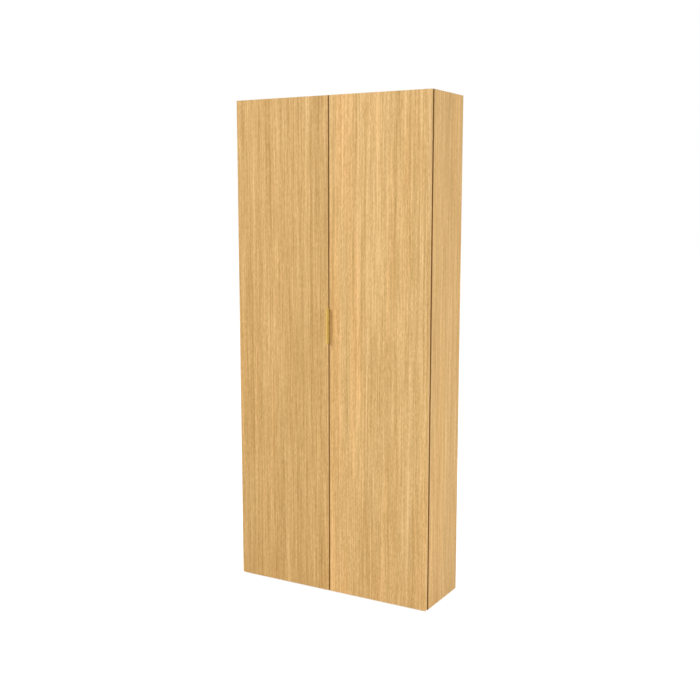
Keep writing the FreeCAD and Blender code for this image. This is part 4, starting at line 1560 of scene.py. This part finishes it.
@dataclass(frozen=True)
class Joinery(SubAssembly):
    """What joins the boards of the case: dowels, cam bolts and cams."""

    cam_edges: EasedEdges = EasedEdges()
    dowel_seed: float = 10.0

    def dress(self) -> None:
        """Gives the dowels and the cam bolts their finishes."""
        wear("dowels", self.finishes.oak.coat("dowels", Grain.SIDEWAYS, self.dowel_seed))
        wear("cam_bolts", self.finishes.zinc.coat())

    def build(self) -> None:
        """Eases the edges of the cams."""
        self.cam_edges.apply("cams", self.finishes.casting)


@dataclass(frozen=True)
class BroomRail(SubAssembly):
    """The rail for brooms in the left bay, and its turned pegs."""

    peg: TurnedPeg = TurnedPeg()
    rail_seed: float = 12.0
    peg_seed: float = 13.0

    def dress(self) -> None:
        """Gives the rail its wood."""
        wear("peg_rail", self.finishes.oak.coat("peg_rail", Grain.SIDEWAYS, self.rail_seed))

    def build(self) -> None:
        """Turns the pegs, with their grain along them."""
        oak = self.finishes.oak
        self.peg.grow("pegs", Way.FRONT, oak, oak.coat("pegs", Grain.FORWARD, self.peg_seed))


@dataclass(frozen=True)
class Shelving(SubAssembly):
    """The shelves of both bays and their supports."""

    support: ShelfSupport = ShelfSupport()
    places: tuple[str, ...] = ("left_4", "right_1", "right_2", "right_3", "right_4")
    first_seed: float = 14.0

    def dress(self) -> None:
        """Gives each shelf a stretch of veneer of its own."""
        for number, place in enumerate(self.places):
            shelf = Board(f"shelf_{place}", Grain.SIDEWAYS, self.first_seed + number)
            shelf.dress(self.finishes.veneer)

    def build(self) -> None:
        """Sets the supports under the shelves."""
        nickel = self.finishes.nickel
        self.support.grow("shelf_supports", Way.INTO_BAY, nickel, nickel.coat())


@dataclass(frozen=True)
class Doors(SubAssembly):
    """Both doors, with their bumpers and the strike plates of their catches."""

    bumper: Bumper = Bumper()
    plate_edges: EasedEdges = EasedEdges()
    boards: tuple[Board, ...] = (
        Board("door_left", Grain.UPRIGHT, 1.0, shade=-0.12, contrast=0.94, warmth=0.35,
              lipping=GapShadeEdge.RIGHT),
        Board("door_right", Grain.UPRIGHT, 24.0, shade=0.105, warmth=0.65, lipping=GapShadeEdge.LEFT),
    )

    def dress(self) -> None:
        """Gives the doors their veneer."""
        for board in self.boards:
            board.dress(self.finishes.veneer)

    def build(self) -> None:
        """Sticks on the bumpers, and eases the edges of the strike plates."""
        rubber = self.finishes.rubber
        for side in SIDES:
            self.bumper.grow(f"bumpers_{side}", Way.BACK, rubber, rubber.coat())
            self.plate_edges.apply(f"strike_plate_{side}", self.finishes.nickel)


@dataclass(frozen=True)
class Hinges(SubAssembly):
    """The hinges of both doors: cups, arms, plates, pins and screws."""

    edges: EasedEdges = EasedEdges()
    screw: WoodScrew = WoodScrew(tip=0.003)
    arm_screw: PanScrew = PanScrew()
    count: int = 4

    def dress(self) -> None:
        """Gives the pins their plating."""
        for side in SIDES:
            wear(f"hinge_pins_{side}", self.finishes.nickel.coat())

    def build(self) -> None:
        """Eases the edges of the stampings, and drives the screws."""
        nickel = self.finishes.nickel
        for side in SIDES:
            for number in range(1, self.count + 1):
                self.edges.apply(f"hinge_cup_{side}_{number}", nickel)
                self.edges.apply(f"hinge_arm_{side}_{number}", nickel)
            self.edges.apply(f"hinge_plates_{side}", nickel)
            self.screw.grow(f"cup_screws_{side}", Way.BACK, nickel, nickel.coat())
        self.screw.grow("plate_screws", Way.INTO_BAY, nickel, nickel.coat())
        self.arm_screw.grow("arm_screws", Way.INTO_BAY, nickel, nickel.coat())


@dataclass(frozen=True)
class EdgePull(SubAssembly):
    """The brass pull on the meeting edge of the left door, and its screws."""

    edges: EasedEdges = EasedEdges(width=0.0003, rings=3)
    screw: WoodScrew = WoodScrew(tip=0.003)

    def build(self) -> None:
        """Eases the pull's edges and drives its screws."""
        brass = self.finishes.brass
        self.edges.apply("edge_pull", brass)
        self.screw.grow("pull_screws", Way.BACK, brass, brass.coat())


@dataclass(frozen=True)
class Catches(SubAssembly):
    """The magnetic catches under the top: housings, magnets and screws."""

    housing_edges: EasedEdges = EasedEdges(width=0.0005, rings=3)
    magnet_edges: EasedEdges = EasedEdges()
    screw: WoodScrew = WoodScrew()

    def build(self) -> None:
        """Eases the edges of the housings and the magnets, and drives the screws."""
        for side in SIDES:
            self.housing_edges.apply(f"catch_housing_{side}", self.finishes.white_plastic)
        self.magnet_edges.apply("catch_magnets", self.finishes.magnet)
        zinc = self.finishes.zinc
        self.screw.grow("catch_screws", Way.DOWN, zinc, zinc.coat())


@dataclass(frozen=True)
class Feet(SubAssembly):
    """The glides that the cupboard stands on."""

    glide: NailGlide = NailGlide()

    def build(self) -> None:
        """Nails the glides on."""
        plastic = self.finishes.brown_plastic
        self.glide.grow("glides", Way.DOWN, plastic, plastic.coat())


@dataclass(frozen=True)
class PhotoCamera:
    """The camera of the photograph, found from the cupboard's straight edges."""

    place: tuple[float, float, float] = (2.1208, -3.65615, 1.6242)
    turn_deg: float = 29.903
    dip_deg: float = 8.103
    roll_deg: float = 0.039
    focal_px: float = 1008.5
    frame_px: float = 700.0
    sensor_mm: float = 36.0
    nearest: float = 0.05

    def build(self) -> None:
        """Sets up the scene's camera."""
        lens = bpy.data.cameras.new("photo_camera")
        lens.sensor_width = self.sensor_mm
        lens.lens = self.focal_px / self.frame_px * self.sensor_mm
        lens.clip_start = self.nearest
        camera = placed("photo_camera", lens)
        camera.location = self.place
        level = Euler((math.radians(90 - self.dip_deg), 0.0, math.radians(self.turn_deg)))
        roll = Euler((0.0, 0.0, math.radians(self.roll_deg)))
        camera.rotation_euler = (level.to_matrix() @ roll.to_matrix()).to_euler()
        bpy.context.scene.camera = camera
        log.info("camera at %s", self.place)


@dataclass(frozen=True)
class Lamp:
    """A square soft lamp that looks at the middle of the cupboard and isn't seen itself."""

    name: str
    place: tuple[float, float, float]
    span: float
    watts: float
    aim: tuple[float, float, float] = (0.0, 0.0, 1.0)

    def build(self) -> None:
        """Hangs the lamp in the scene."""
        light = bpy.data.lights.new(self.name, "AREA")
        light.size = self.span
        light.energy = self.watts
        holder = placed(self.name, light)
        holder.location = self.place
        holder.rotation_euler = (Vector(self.aim) - Vector(self.place)).to_track_quat("-Z", "Y").to_euler()
        holder.visible_camera = False


@dataclass(frozen=True)
class Studio:
    """A white studio: a pale floor, an even sky and soft lamps."""

    floor_half: float = 30.0
    floor_tone: Colour = (0.80, 0.80, 0.80, 1.0)
    floor_glow: float = 0.70
    sky_level: float = 0.45
    lamps: tuple[Lamp, ...] = (
        Lamp("key_lamp", (-4.0, -4.4, 3.8), 1.6, 236.0),
        Lamp("side_lamp", (4.8, -0.9, 1.3), 1.6, 95.0),
    )

    @staticmethod
    def seen(graph: Graph) -> Socket:
        """Masks the rays that show the studio: straight to the camera, by reflection or through glass.

        Args:
            graph: the graph of the sky or the floor.

        Returns:
            The mask.
        """
        path = graph.add("ShaderNodeLightPath").outputs
        mirrored = graph.math("MAXIMUM", path["Is Glossy Ray"], path["Is Transmission Ray"])
        return graph.math("MAXIMUM", path["Is Camera Ray"], mirrored)

    def build_sky(self) -> None:
        """Makes the even white sky, which is plain white where it is seen."""
        world = bpy.data.worlds.new("studio_sky")
        world.use_nodes = True
        graph = Graph(world.node_tree)
        level = graph.ease(self.seen(graph), 0.0, 1.0, self.sky_level)
        sky = graph.add("ShaderNodeBackground", {"Color": WHITE, "Strength": level})
        graph.add("ShaderNodeOutputWorld", {"Surface": sky.outputs[0]})
        bpy.context.scene.world = world

    def build_floor(self) -> None:
        """Lays the pale floor, which keeps the cupboard's shadow."""
        mesh = bpy.data.meshes.new("studio_floor")
        half = self.floor_half
        corners = [(-half, -half, 0.0), (half, -half, 0.0), (half, half, 0.0), (-half, half, 0.0)]
        mesh.from_pydata(corners, [], [range(len(corners))])
        material = bpy.data.materials.new("studio_floor")
        material.use_nodes = True
        graph = Graph(material.node_tree)
        paint = graph.add("ShaderNodeBsdfDiffuse", {"Color": self.floor_tone})
        glow = graph.times(self.seen(graph), self.floor_glow)
        lit = graph.add("ShaderNodeEmission", {"Color": WHITE, "Strength": glow})
        both = graph.add("ShaderNodeAddShader", {0: paint.outputs[0], 1: lit.outputs[0]})
        graph.add("ShaderNodeOutputMaterial", {"Surface": both.outputs[0]})
        mesh.materials.append(material)
        placed("studio_floor", mesh)

    def build(self) -> None:
        """Sets up the sky, the floor and the lamps."""
        self.build_sky()
        self.build_floor()
        for lamp in self.lamps:
            lamp.build()
        bpy.context.scene.view_settings.view_transform = "Standard"
        log.info("studio with %d lamps", len(self.lamps))


def main() -> None:
    """Builds the cupboard's sub-assemblies in order, then the camera and the studio."""
    logging.basicConfig(level=logging.INFO, format="%(message)s")
    finishes = Finishes()
    for kind in (Carcass, Joinery, BroomRail, Shelving, Doors, Hinges, EdgePull, Catches, Feet):
        assembly = kind(finishes)
        assembly.dress()
        assembly.build()
    PhotoCamera().build()
    Studio().build()


if __name__ == "__main__":
    main()
